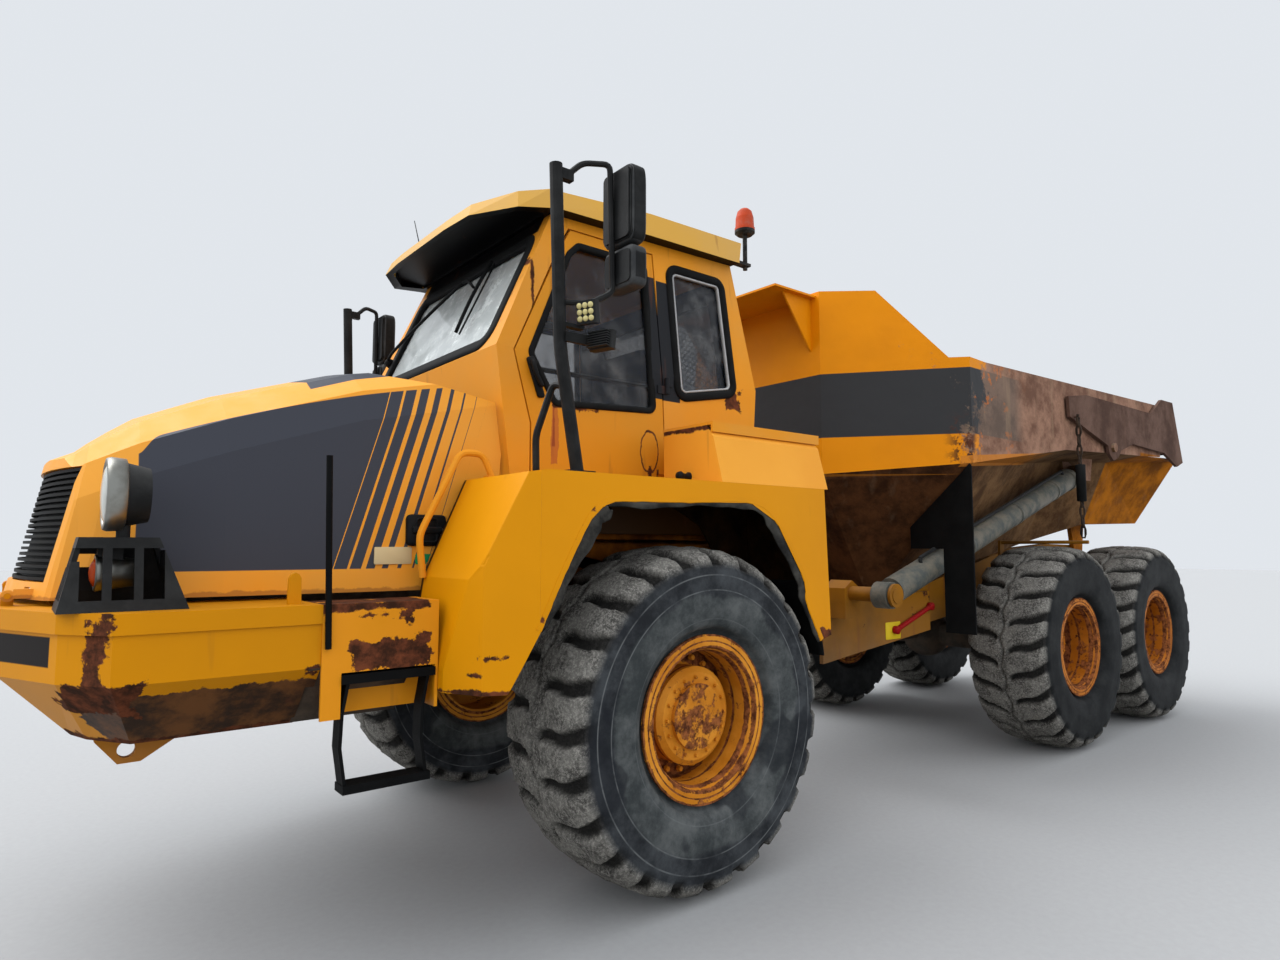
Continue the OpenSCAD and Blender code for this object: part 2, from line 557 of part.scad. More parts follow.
// Cab: walls that lean in towards the roof, drawn as one block and hollowed
cab_low = 1640;
cab_high = 3240;
cab_rise = 0.022;
function cab_top(x, grow) = cab_high + (500 - x) * cab_rise - grow;
cab_rear_low = 930;
cab_rear_foot = 865;
cab_rear_high = 775;
cab_front_low = 708;
sill_z = 2510;
function cab_plan(front, rear, half) = [[-rear, -half], [front, -half], [front, half], [-rear, half]];
module cab_block(grow) {
  loft([
    [for (p = cab_plan(500 - grow, cab_rear_high - grow, cab_top_half - grow)) [p[0], p[1], cab_top(p[0], grow)]],
    [for (p = cab_plan(825 - grow, cab_rear_low - grow, cab_half - grow)) [p[0], p[1], sill_z]],
    [for (p = cab_plan(cab_front_low - grow, cab_rear_foot - grow, cab_half - grow)) [p[0], p[1], cab_low + grow]]]);
}
DOOR = [[-215, 1905], [640, 1905], [640, 2160], [735, 2500], [470, 3060], [400, 3190], [-160, 3190]];
DOOR_WINDOW = [[-124, 2300], [500, 2270], [640, 2500], [400, 3050], [340, 3110], [-95, 3110]];
REAR_WINDOW = [[-300, 2390], [-740, 2470], [-690, 3110], [-660, 3140], [-270, 3140]];
// Window glass in the middle of the walls
module glass_layer() difference() {
  cab_block(cab_wall / 2 - glass / 2);
  cab_block(cab_wall / 2 + glass / 2);
}
module side_holes(side) {
  edge = side > 0 ? 600 : -1000;
  side_plate(REAR_WINDOW, edge, edge + 400);
  if (side < 0) side_plate(DOOR_WINDOW, edge, edge + 400);
}
module end_holes() {
  translate([300, -660, 2560]) cube([700, 1320, 560]);
  translate([-1100, -560, 2350]) cube([500, 1120, 720]);
}
module cab_shell() color(amber) on_axle() {
  difference() {
    cab_block(0);
    cab_block(cab_wall);
    side_plate(DOOR, 600, 1000);
    for (side = [-1, 1]) side_holes(side);
    end_holes();
  }
  door_knuckles(1);
  for (z = [1960, 2400]) translate([door_pin[0], door_pin[1], z + 4]) cylinder(r = 5, h = 60);
}
module cab_glass() color(glass_tint) on_axle() intersection() {
  glass_layer();
  union() {
    for (side = [-1, 1]) side_holes(side);
    end_holes();
  }
}
module door_block() intersection() {
  difference() {
    cab_block(0);
    cab_block(cab_wall);
  }
  // The gap widens up the front edge, where the wall leans away from the upright hinge line
  side_plate([for (p = DOOR) [p[0] + (p[0] < 0 ? door_gap : p[1] > 3000 ? -door_gap - 6 : -door_gap),
    p[1] + (p[1] < 2000 ? door_gap : p[1] > 3100 ? -door_gap : 0)]], 600, 1000);
}
// Door hinges at the rear edge: a leaf and a knuckle each on the door and on the cab, and a pin
door_pin = [-211, cab_half + 14];
module door_knuckles(part) for (z = [1960, 2400]) translate([door_pin[0], door_pin[1], z + part * 45]) {
  cylinder(r = 12, h = 44.5);
  translate([part == 0 ? 0 : -44, fit - 14, 0]) cube([part == 0 ? 60 : 44, 8, 44.5]);
  translate([part == 0 ? 34 : -44, -15, 0]) cube([26, 8, 44.5]);
}
module door() color(amber) on_axle() difference() {
  union() {
    door_block();
    door_knuckles(0);
  }
  side_plate(DOOR_WINDOW, 600, 1000);
  for (z = [1960, 2400]) translate([door_pin[0], door_pin[1], z - 5]) cylinder(r = 5 + fit, h = 60);
}
module door_glass() color(glass_tint) on_axle() intersection() {
  glass_layer();
  side_plate(DOOR_WINDOW, 600, 1000);
}
// Roof with the visor over the windscreen: a crown, a band and a lower edge, each a closed outline.
// Columns: x, half width, height; the lower edge lies on the cab from its front wall to the rear
ROOF_CROWN = [[600, 280, 3318], [560, 420, 3326], [470, 560, 3348], [380, 620, 3372], [-100, 640, 3412], [-640, 640, 3436]];
ROOF_BAND = [[848, 300, 3262], [826, 520, 3274], [690, 745, 3302], [545, 800, 3336], [-100, 806, 3386], [-822, 796, 3405]];
ROOF_EDGE = [[872, 310, 3200], [852, 545, 3203], [706, 775, 3210], [510, 822, cab_top(510, -fit)],
  [-100, 826, cab_top(-100, -fit)], [-785, 816, cab_top(-785, -fit)]];
// The same outline inside the band, for the hollow of the visor
ROOF_HOLLOW = [[835, 290, 0], [815, 510, 0], [680, 720, 0], [528, 740, 0]];
module outline_loft(tables) loft([for (t = tables) concat([[t[0][0], -t[0][1], t[0][2]]], [for (p = t) [p[0], p[1], p[2]]],
  [for (i = [len(t) - 1 : -1 : 1]) [t[i][0], -t[i][1], t[i][2]]])]);
module cab_roof() color(yellow) on_axle() difference() {
  outline_loft([ROOF_CROWN, ROOF_BAND, ROOF_EDGE]);
  outline_loft([for (z = [3252, 3100]) [for (p = ROOF_HOLLOW) [p[0], p[1], z]]]);
}
module cab_interior() color(black) on_axle() {
  translate([-560, -270, cab_low + cab_wall + fit]) cube([520, 540, 560]);
  translate([-600, -260, 2100]) cube([130, 520, 700]);
  translate([430, -500, cab_low + cab_wall + fit]) cube([180, 1000, 780]);
  translate([330, 0, 2280]) rotate([0, -30, 0]) difference() {
    cylinder(r = 225, h = 30);
    translate([0, 0, -5]) cylinder(r = 195, h = 40);
  }
  bar([330, 0, 2290], [470, 0, 2200], 30);
  translate([330, 0, 2280]) rotate([0, -30, 0]) translate([-205, -20, 5]) cube([410, 40, 20]);
}
module beacon() color(rust) on_axle() {
  translate([-905, 750, 3270]) cylinder(r = 14, h = 226);
  translate([-905, 750, 3490]) rotate_extrude() polygon([[0, 0], [46, 0], [62, 14], [62, 44], [58, 46], [55, 110], [44, 150],
    [28, 166], [20, 170], [0, 170]]);
  translate([-930, 725, 3290]) cube([134, 50, 18]);
}

// Mirror masts on the fenders: a bent post, a bracket and arm, two mirror heads, a hand rail and two work lamps
mast_y = 1290;
// A box with all its upright edges rounded, about an upright axis
module soft_box(low, size, r) translate(low) linear_extrude(size[2]) {
  translate([r, 0]) square([size[0] - 2 * r, size[1]]);
  translate([0, r]) square([size[0], size[1] - 2 * r]);
  for (x = [r, size[0] - r], y = [r, size[1] - r]) translate([x, y]) circle(r = r);
}
// A mirror head: a rounded outline seen from the front, with a softer back
module mirror_head(low, w, h, d) translate(low) rotate([90, 0, 90]) {
  r = 38;
  for (step = [[0, 0, d - 22], [d - 22.5, 7, 12.5], [d - 10.5, 16, 10.5]]) translate([0, 0, step[0]]) linear_extrude(step[2])
    union() {
      translate([r, step[1]]) square([w - 2 * r, h - 2 * step[1]]);
      translate([step[1], r]) square([w - 2 * step[1], h - 2 * r]);
      for (x = [r, w - r], y = [r, h - r]) translate([x, y]) circle(r = r - step[1]);
    }
}
module mirror_masts() color(black) on_axle() both_sides() {
  translate([640, mast_y - 45, fender_top + fit]) cube([130, 90, 10]);
  rail(bent([[702, mast_y, fender_top + fit + 6], [742, mast_y, 2110], [794, mast_y + 2, 2400], [826, mast_y + 6, 3178]], 60),
    28, n = 14);
  // Bracket and arm, which passes down behind the heads and back to the mast
  translate([745, mast_y - 12, 3120]) cube([75, 34, 46]);
  rail(bent([[765, mast_y + 6, 3150], [700, mast_y + 20, 3216], [600, mast_y + 82, 3216], [590, mast_y + 92, 2650],
    [690, mast_y + 60, 2590], [800, mast_y + 4, 2590]], 30), 13, n = 8);
  mirror_head([505, mast_y - 4, 2862], 210, 336, 78);
  mirror_head([505, mast_y + 2, 2668], 206, 172, 74);
  // Hand rail from the mast down to the fender
  rail(bent([[758, mast_y - 10, 2240], [768, mast_y - 90, 2262], [826, mast_y - 130, 2040], [822, mast_y - 130, fender_top + fit + 5]],
    34), 15, side = [0.9, 0.3, 0.1], n = 8);
  translate([797, mast_y - 155, fender_top + fit]) cube([50, 50, 8]);
  // Work lamps: a square one and a deeper one with cooling ribs
  translate([700, mast_y + 24, 2500]) rotate([0, 8, 24]) soft_box([0, 0, 0], [44, 92, 96], 8);
  translate([640, mast_y + 26, 2392]) rotate([0, -6, 16]) {
    soft_box([0, 0, 0], [38, 118, 78], 8);
    for (i = [0 : 6]) translate([34, 6, 5 + i * 10.5]) cube([26, 106, 5]);
  }
  translate([655, mast_y + 20, 2420]) cube([135, 18, 40]);
  translate([690, mast_y - 6, 2486]) cube([112, 34, 16]);
}
// Head lamps on slotted guards, which stand on the bumper deck
module guard_block(grow) loft([
  for (r = [[1605 - grow, 2355, 2135, 795, 935], [deck_z + fit - 3 * (grow > 0 ? grow : 0), 2405, 2050, 740, 1005]])
    [[r[2] + grow, r[3] + grow, r[0]], [r[1] - grow, r[3] + grow, r[0]], [r[1] - grow, r[4] - grow, r[0]],
      [r[2] + grow, r[4] - grow, r[0]]]]);
module front_lamps() color(black) on_axle() both_sides() {
  difference() {
    guard_block(0);
    guard_block(sheet);
    for (i = [0 : 4]) translate([2300, 772 + i * 40, deck_z + 35]) cube([200, 26, 165]);
    for (i = [0 : 2]) translate([2120 + i * 85, 850, deck_z + 35]) cube([60, 300, 165]);
  }
  translate([2230, 830, 1500]) cube([70, 60, 100]);
  bar([2236, 905, 1600], [2236, 905, 1680], 20);
  translate([2170, 905, 1745]) rotate([0, 90, 0]) cylinder(r1 = 90, r2 = 115, h = 110);
}
// A rail along the slope of each fender's inner edge, bent over at its top
module grab_rails() color(amber) on_axle() both_sides() {
  rail(bent([[1176, 850, 1446], [1196, 848, 1620], [1015, 846, 1985], [910, 852, 1985], [868, 860, fender_top + 6]], 38), 15);
  translate([840, 835, fender_top + fit]) cube([56, 50, 9]);
}
// Steps: a rung in the recess of the side panel, a lower one on two curved rubber straps, and a rod to hold
module steps() color(black) on_axle() both_sides() {
  translate([recess[0] + fit, recess[2] + 35, 1085]) cube([recess[1] - recess[0] - 2 * fit, 88, 32]);
  translate([1240, 1020, 700]) cube([325, 88, 30]);
  for (x = [1252, 1553]) side_plate([[x - 6, 1095], [x + 6, 1095], [x + 26, 980], [x + 30, 860], [x + 6, 705],
    [x - 6, 705], [x + 18, 860], [x + 14, 980]], 1030, 1100);
  bar([1632, bumper_half + 11 + fit, 1215], [1650, bumper_half + 11 + fit, 1900], 11);
}
// Mud flaps along the leaning front corner of the dump body, cut out round the tip cylinders
module mudflaps() color(black) on_axle() both_sides()
  translate([-2408, 0, 0]) rotate([90, 0, 90]) linear_extrude(12) polygon([[1150, 1000], [1360, 1000],
    [1364, 2110], [1353, 2126.4], [1285.8, 2058.4], [905, 1709.6], [905, 1560], [1150, 1560]]);

// Dump body
// Columns: x, half width and height of the floor, half width and height of the ledge, height of the rim
HULL = [
  [-floor_back + 40, 460, floor_low, 580, 2040, 2075],
  [-floor_back, 500, floor_low, 1300, 2060, 2130],
  [-3870, 550, floor_z(-3870), 1060, 2250, 2330],
  [-tip_high_back + 100, 600, floor_mid, 960, 2330, 2370],
  [-5450, 850, 1790, 1080, 2360, 2400],
  [-tail_reach, 900, 1815, 1290, 2430, 2455]];
// The front ring leans: its top is at the front wall and its floor further back
function hull_x(i, top) = i == 0 && top ? -body_front : i == 1 && top ? -2420 : HULL[i][0];
function hull_ring(i, t) = let (s = HULL[i], rim = i == 0 ? 590 : i == 5 ? 1310 : body_half,
    back = i == 5 ? -t * 3 : i == 0 ? -t : 0, up = t > 0 ? 60 : 0) [
  [hull_x(i, false) + back, -s[1] + t, s[2] + t], [hull_x(i, false) + back, s[1] - t, s[2] + t],
  [hull_x(i, true) + back, s[3] - t, s[4] + t], [hull_x(i, true) + back, rim - t, s[5] + t * 0.8],
  [hull_x(i, true) + back, rim - t, s[5] + up + t], [hull_x(i, true) + back, -rim + t, s[5] + up + t],
  [hull_x(i, true) + back, -rim + t, s[5] + t * 0.8], [hull_x(i, true) + back, -s[3] + t, s[4] + t]];
module body_hull(t) loft([for (i = [0 : 5]) hull_ring(i, t)]);
wall_rear = 5950;
function wall_plan(t) = [[-body_front - t, -590 + t * 0.5], [-body_front - t, 590 - t * 0.5],
  [-2420 - t * 0.3, body_half - t], [-wall_rear - (t > 0 ? 10 : 0), body_half - t],
  [-wall_rear - (t > 0 ? 10 : 0), -body_half + t], [-2420 - t * 0.3, -body_half + t]];
module body_walls() intersection() {
  difference() {
    translate([0, 0, 1900]) linear_extrude(1600) polygon(wall_plan(0));
    translate([0, 0, 1890]) linear_extrude(1620) polygon(wall_plan(body_t));
  }
  side_plate([[-body_front + 5, 2075], [-2420, 2130], [-3870, 2330], [-tip_high_back + 100, 2370], [-5450, 2400],
    [-wall_rear - 5, 2425], [-wall_rear - 5, wall_top_z + 80], [-2630, wall_top_z], [-2340, wall_top_z + 10],
    [-2060, headboard_z - 25], [-body_front + 5, headboard_z]], -body_half - 100, body_half + 100);
}
module dump_body() color(rust) on_axle() difference() {
  body_pieces();
  for (side = [-1, 1]) cross_bar(-hinge_back, hinge_z, 45 + fit, side * (rear_rail_y + rear_rail_w + 30) - 40,
    side * (rear_rail_y + rear_rail_w + 30) + 40);
}
module body_pieces() {
  difference() {
    body_hull(0);
    body_hull(body_t);
  }
  body_walls();
  // Spill guard ahead of the headboard
  translate([-body_front, -560, headboard_z - 40]) cube([430, 1120, 14]);
  both_sides() {
    side_plate([[-body_front, 2950], [-body_front, headboard_z - 35], [-body_front + 300, headboard_z - 35]], 500, 514);
    side_plate([[-hinge_back - 80, hinge_z - 60], [-hinge_back + 80, hinge_z - 60], [-hinge_back + 160, 1800],
      [-hinge_back - 160, 1810]], rear_rail_y + rear_rail_w + 10, rear_rail_y + rear_rail_w + 50);
    for (y = [tip_y - 95, tip_y + 65]) side_plate([[-tip_high_back - 60, tip_high_z - 70], [-tip_high_back + 60, tip_high_z - 70],
      [-tip_high_back + 130, 2380], [-tip_high_back - 130, 2390]], y, y + 25);
    cross_bar(-gate_back, gate_z, 38, body_half - 10, body_half + 62);
  }
}

// Tailgate on two arms outside the side walls
gate_back = 4700;
gate_z = 2410;
arm_y = body_half + 15;
ARM = [[-3870, 2590], [-3860, 2750], [-4200, 2800], [-5650, 2805], [-5940, 2970], [-6243, 2976], [-6450, 2400],
  [-6280, 2350], [-5938, 2460], [-5164, 2480], [-4880, 2400], [-4800, 2330], [-4700, 2300], [-4620, 2350], [-4600, 2420]];
module tailgate() color(rust) on_axle() {
  for (side = [-1, 1]) cross_bar(chain_x, chain_pin_z, 7, side * (arm_y + 43) - 20, side * (arm_y + 43) + 20);
  difference() {
    both_sides() side_plate(ARM, arm_y, arm_y + 25);
    for (side = [-1, 1]) cross_bar(-gate_back, gate_z, 38 + fit, side * (arm_y + 12) - 40, side * (arm_y + 12) + 40);
  }
  translate([-6250, -arm_y - 5, 2470]) cube([180, 2 * arm_y + 10, 420]);
  translate([-6130, 0, 0]) rotate([90, 0, 90]) linear_extrude(20)
    polygon([[-850, 1860], [850, 1860], [1120, 2480], [-1120, 2480]]);
}
// Chains of flat links that hang from the front of the arms to the cross rod
chain_x = -3950;
chain_top = 2600;
chain_low = 1650;
chain_n = 12;
chain_step = (chain_top - chain_low) / chain_n;
chain_pin_z = chain_top - 7 - fit;
// Flat links of 12 mm plate; each hangs in the one above
module chain_link(h, w, d) translate([0, d / 2, 0]) rotate([90, 0, 0]) linear_extrude(d) difference() {
  polygon([[-w, h - w], [-w / 2, h + 12], [w / 2, h + 12], [w, h - w], [w, w - h], [w / 2, -h - 12], [-w / 2, -h - 12], [-w, w - h]]);
  square([w - 6, 2 * h], center = true);
}
module tailgate_chains() color(rust) on_axle() both_sides() {
  for (i = [0 : chain_n - 1]) translate([chain_x, arm_y + 50, chain_top - (i + 0.5) * chain_step])
    rotate([0, 0, i % 2 * 90]) chain_link(chain_step / 2 + 0.15, 22, 12);
}

// Tip cylinders, drawn along their own line from the lower pin
tip_rise = tip_high_z - tip_low_z;
tip_run = tip_high_back - tip_low_back;
tip_len = norm([tip_run, tip_rise]);
tip_angle = atan2(tip_rise, tip_run);
tip_barrel_len = tip_len - 200;
tip_rod_len = 2300;
module on_tip_line(side) on_axle() translate([-tip_low_back, side * tip_y, tip_low_z])
  rotate([0, -90 + tip_angle, 0]) children();
module eye(r, w, bore) rotate([90, 0, 0]) difference() {
  translate([0, 0, -w / 2]) cylinder(r = r, h = w);
  translate([0, 0, -w]) cylinder(r = bore, h = 2 * w);
}
module tip_barrels() color(steel) for (side = [-1, 1]) on_tip_line(side) {
  eye(85, 110, 48 + fit);
  difference() {
    translate([0, 0, 78]) cylinder(r = tip_barrel_r, h = tip_barrel_len - 78);
    translate([0, 0, 150]) cylinder(r = tip_barrel_r - 14, h = tip_barrel_len - 210);
    translate([0, 0, 150]) cylinder(r = tip_rod_r + fit, h = tip_barrel_len);
  }
}
module tip_rods() color(steel) for (side = [-1, 1]) on_tip_line(side) {
  translate([0, 0, tip_len]) eye(75, 110, 20);
  translate([0, 0, tip_len - tip_rod_len]) cylinder(r = tip_rod_r, h = tip_rod_len - 60);
  translate([0, 0, tip_len - tip_rod_len]) cylinder(r = tip_barrel_r - 14 - fit, h = 90);
}

// Steering cylinders between the rear frame's cross member and the hitch
steer_len = steer_barrel_back - steer_rod_back;
steer_barrel_len = 680;
steer_rod_len = 900;
module on_steer_line(side) on_axle() translate([-steer_barrel_back, side * steer_y, hitch_z])
  rotate([0, 90, 0]) children();
module pin_eye(r, w, bore) rotate([0, 90, 0]) difference() {
  translate([0, 0, -w / 2]) cylinder(r = r, h = w);
  translate([0, 0, -w]) cylinder(r = bore, h = 2 * w);
}
module steer_barrel(side) color(steel) on_steer_line(side) {
  pin_eye(50, 76, 22 + fit);
  difference() {
    translate([0, 0, 45]) cylinder(r = steer_barrel_r - 14, h = steer_barrel_len - 45);
    translate([0, 0, 80]) cylinder(r = steer_rod_r + 6, h = steer_barrel_len - 120);
    translate([0, 0, 80]) cylinder(r = steer_rod_r + fit, h = steer_barrel_len);
  }
}
module steer_rod(side) color(steel) on_steer_line(side) {
  translate([0, 0, steer_len]) pin_eye(42, 56, 20);
  translate([0, 0, steer_len - steer_rod_len]) cylinder(r = steer_rod_r, h = steer_rod_len - 36);
}
module steer_barrel_left() steer_barrel(1);
module steer_barrel_right() steer_barrel(-1);
module steer_rod_left() steer_rod(1);
module steer_rod_right() steer_rod(-1);

front_frame();
engine();
front_axle();
bumper();
side_panels();
fenders();
storage_boxes();
box_lid_left();
box_lid_right();
bonnet();
grille();
cab_shell();
cab_roof();
cab_glass();
door();
door_glass();
cab_interior();
beacon();
mirror_masts();
front_lamps();
grab_rails();
steps();
hitch();
rear_frame();
bogie();
mudflaps();
tyre_front_left();
tyre_front_right();
tyre_middle_left();
tyre_middle_right();
tyre_rear_left();
tyre_rear_right();
rim_front_left();
rim_front_right();
rim_middle_left();
rim_middle_right();
rim_rear_left();
rim_rear_right();
dump_body();
tailgate();
tailgate_chains();
tip_barrels();
tip_rods();
steer_barrel_left();
steer_barrel_right();
steer_rod_left();
steer_rod_right();
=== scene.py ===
"""Looks of the articulated dump truck: paint, rust, rubber, glass and the small parts on its CAD frame."""
import math
import bpy
import bmesh
import numpy as np
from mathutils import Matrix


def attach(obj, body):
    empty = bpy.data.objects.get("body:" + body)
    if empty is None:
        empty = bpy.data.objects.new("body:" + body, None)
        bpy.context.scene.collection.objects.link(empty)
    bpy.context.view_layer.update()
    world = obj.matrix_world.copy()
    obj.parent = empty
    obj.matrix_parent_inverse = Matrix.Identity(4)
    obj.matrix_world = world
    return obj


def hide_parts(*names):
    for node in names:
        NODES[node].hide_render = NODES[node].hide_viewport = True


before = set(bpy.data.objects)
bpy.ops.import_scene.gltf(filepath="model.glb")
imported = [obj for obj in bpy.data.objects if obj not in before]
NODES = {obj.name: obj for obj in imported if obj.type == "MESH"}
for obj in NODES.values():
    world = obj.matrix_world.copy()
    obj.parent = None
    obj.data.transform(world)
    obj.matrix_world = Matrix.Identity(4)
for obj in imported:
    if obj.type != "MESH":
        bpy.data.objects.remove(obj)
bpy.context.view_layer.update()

# Sizes that repeat the part's source, in metres; x is counted from the front axle
AXLE_X = 2.0425
TYRE_R = 0.790
TYRE_W = 0.600
TRACK = 1.080
WHEEL_X = {"front": 0.0, "middle": -4.070, "rear": -5.770}
SIDES = {"left": 1, "right": -1}
LUGS = 24
CAB_HALF = 0.800
SILL_Z = 2.510
CAB_FRONT = 0.825
CAB_REAR = 0.930
# How far each cab wall leans in for a metre of height above the sill
WALL_LEAN = 0.0741
FRONT_LEAN = 0.4452
REAR_LEAN = 0.2045
# How far the front and rear walls lean in for a metre below the sill
FRONT_LEAN_LOW = 0.1345
REAR_LEAN_LOW = 0.0747
# The cab's inside, from its floor to the underside of its roof
CAB_FLOOR_Z = 1.64
CAB_CEILING_Z = 3.22
FENDER_HALF = 1.380
MAST_Y = 1.290
# Tip cylinder: its lower pin, its slope, and the barrel's radius and length
TIP_PIN = (-1.850, 1.265)
TIP_SLOPE = math.atan2(0.960, 3.000)
TIP_Y = 1.050
BARREL_R = 0.087
BARREL_LEN = 2.950


def place(x, y, z):
    """A point in the row frame from one that counts x from the front axle."""
    return np.array([x + AXLE_X, y, z])


def srgb(r, g, b):
    """A colour of 0 to 255 as linear light, from the sRGB curve."""
    c = np.array([r, g, b]) / 255
    lin = np.where(c <= 0.04045, c / 12.92, ((c + 0.055) / 1.055) ** 2.4)
    return (float(lin[0]), float(lin[1]), float(lin[2]), 1.0)


# Node trees

def feed(tree, node, key, value):
    """Connect another node's output to an input, or set the input to a number or colour."""
    if isinstance(value, bpy.types.NodeSocket):
        tree.links.new(value, node.inputs[key])
    else:
        node.inputs[key].default_value = value


def put(tree, kind, inputs=None, **settings):
    """A shader node with its settings and inputs; an input is a number, a colour or another node's output."""
    node = tree.nodes.new(kind)
    for key, value in settings.items():
        setattr(node, key, value)
    for key, value in (inputs or {}).items():
        feed(tree, node, key, value)
    return node


def maths(tree, operation, a, b=0.0, clamp=False):
    """The result of one operation on two values."""
    return put(tree, "ShaderNodeMath", {0: a, 1: b}, operation=operation, use_clamp=clamp).outputs[0]


def times(tree, a, b, clamp=False):
    """The product of two values."""
    return maths(tree, "MULTIPLY", a, b, clamp)


def plus(tree, a, b, clamp=False):
    """The sum of two values."""
    return maths(tree, "ADD", a, b, clamp)


def minus(tree, a, b, clamp=False):
    """The first value less the second."""
    return maths(tree, "SUBTRACT", a, b, clamp)


def larger(tree, a, b):
    """The larger of two values."""
    return maths(tree, "MAXIMUM", a, b)


def vector_maths(tree, operation, a, b):
    """The result of one operation on two vectors."""
    return put(tree, "ShaderNodeVectorMath", {0: a, 1: b}, operation=operation).outputs[0]


def coordinate(tree, vector, axis):
    """One coordinate of a vector, where the axis is 0, 1 or 2."""
    return put(tree, "ShaderNodeSeparateXYZ", {0: vector}).outputs[axis]


def noise(tree, place_socket, scale, detail=4.0, rough=0.6):
    """Fractal noise between 0 and 1 at a scale in waves per metre."""
    return put(tree, "ShaderNodeTexNoise", {"Vector": place_socket, "Scale": scale, "Detail": detail,
                                            "Roughness": rough}).outputs["Fac"]


def ramp(tree, value, low, high, out_low=0.0, out_high=1.0):
    """A smooth step from one value to another."""
    return put(tree, "ShaderNodeMapRange",
               {"Value": value, "From Min": low, "From Max": high, "To Min": out_low, "To Max": out_high},
               interpolation_type="SMOOTHSTEP").outputs["Result"]


def blend_colour(tree, mask, first, second):
    """First colour where the mask is 0, second where it is 1."""
    node = put(tree, "ShaderNodeMix", data_type="RGBA")
    for key, value in ((0, mask), (6, first), (7, second)):
        feed(tree, node, key, value)
    return node.outputs[2]


def start_group(name, inputs, outputs):
    """An empty node group with named float or vector inputs and float outputs."""
    group = bpy.data.node_groups.new(name, "ShaderNodeTree")
    for label, kind, value in inputs:
        socket = group.interface.new_socket(label, in_out="INPUT", socket_type=kind)
        if value is not None:
            socket.default_value = value
    for label in outputs:
        group.interface.new_socket(label, in_out="OUTPUT", socket_type="NodeSocketFloat")
    return group, group.nodes.new("NodeGroupInput"), group.nodes.new("NodeGroupOutput")


FLOAT = "NodeSocketFloat"
VECTOR = "NodeSocketVector"


def make_zone_group():
    """Mask of a box with ragged edges: 1 inside, falling to 0 over the softness."""
    group, start, end = start_group("ragged_zone",
                                    [("Position", VECTOR, None), ("Centre", VECTOR, None),
                                     ("Half", VECTOR, None), ("Ragged", FLOAT, 0.05),
                                     ("Softness", FLOAT, 0.01), ("Scale", FLOAT, 9.0)], ["Mask"])
    away = vector_maths(group, "SUBTRACT", start.outputs["Position"], start.outputs["Centre"])
    size = put(group, "ShaderNodeVectorMath", {0: away}, operation="ABSOLUTE").outputs[0]
    past = vector_maths(group, "SUBTRACT", size, start.outputs["Half"])
    split = put(group, "ShaderNodeSeparateXYZ", {0: past})
    furthest = larger(group, larger(group, split.outputs[0], split.outputs[1]), split.outputs[2])
    wobble = minus(group, noise(group, start.outputs["Position"], start.outputs["Scale"], 6.0, 0.65), 0.5)
    edge = plus(group, furthest, times(group, wobble, times(group, start.outputs["Ragged"], 4.0)))
    inside = maths(group, "DIVIDE", times(group, edge, -1.0), start.outputs["Softness"])
    group.links.new(plus(group, inside, 0.5, clamp=True), end.inputs["Mask"])
    return group


def make_spots_group():
    """Chips and rust spots: two noises summed and cut off at a level."""
    group, start, end = start_group("spots", [("Position", VECTOR, None), ("Scale", FLOAT, 3.0),
                                              ("Amount", FLOAT, 0.3)], ["Mask"])
    large = noise(group, start.outputs["Position"], start.outputs["Scale"], 5.0, 0.62)
    fine_scale = times(group, start.outputs["Scale"], 7.0)
    fine = noise(group, start.outputs["Position"], fine_scale, 4.0, 0.6)
    total = plus(group, times(group, large, 0.72), times(group, fine, 0.28))
    level = minus(group, 0.78, times(group, start.outputs["Amount"], 0.3))
    group.links.new(times(group, minus(group, total, level), 40.0, clamp=True), end.inputs["Mask"])
    return group


def make_dust_group():
    """Dust and grime: more on faces that look up, more near the ground, broken up by noise."""
    group, start, end = start_group("dust",
                                    [("Position", VECTOR, None), ("Normal", VECTOR, None),
                                     ("Top", FLOAT, 1.2), ("Amount", FLOAT, 0.5), ("Up", FLOAT, 0.4)],
                                    ["Mask"])
    height = coordinate(group, start.outputs["Position"], 2)
    low = minus(group, 1.0, maths(group, "DIVIDE", height, start.outputs["Top"]), clamp=True)
    up = times(group, larger(group, coordinate(group, start.outputs["Normal"], 2), 0.0),
               start.outputs["Up"])
    patches = ramp(group, noise(group, start.outputs["Position"], 2.3, 6.0, 0.65), 0.3, 0.7, 0.45, 1.0)
    total = times(group, plus(group, low, up), start.outputs["Amount"])
    group.links.new(times(group, total, patches, clamp=True), end.inputs["Mask"])
    return group


def make_streak_group():
    """Upright run marks: noise stretched six times along z and cut off at a level."""
    group, start, end = start_group("streaks", [("Position", VECTOR, None), ("Scale", FLOAT, 14.0),
                                                ("Amount", FLOAT, 0.4)], ["Mask"])
    flat = vector_maths(group, "MULTIPLY", start.outputs["Position"], (1.0, 1.0, 0.12))
    value = noise(group, flat, start.outputs["Scale"], 3.0, 0.55)
    level = minus(group, 0.72, times(group, start.outputs["Amount"], 0.25))
    group.links.new(times(group, minus(group, value, level), 9.0, clamp=True), end.inputs["Mask"])
    return group


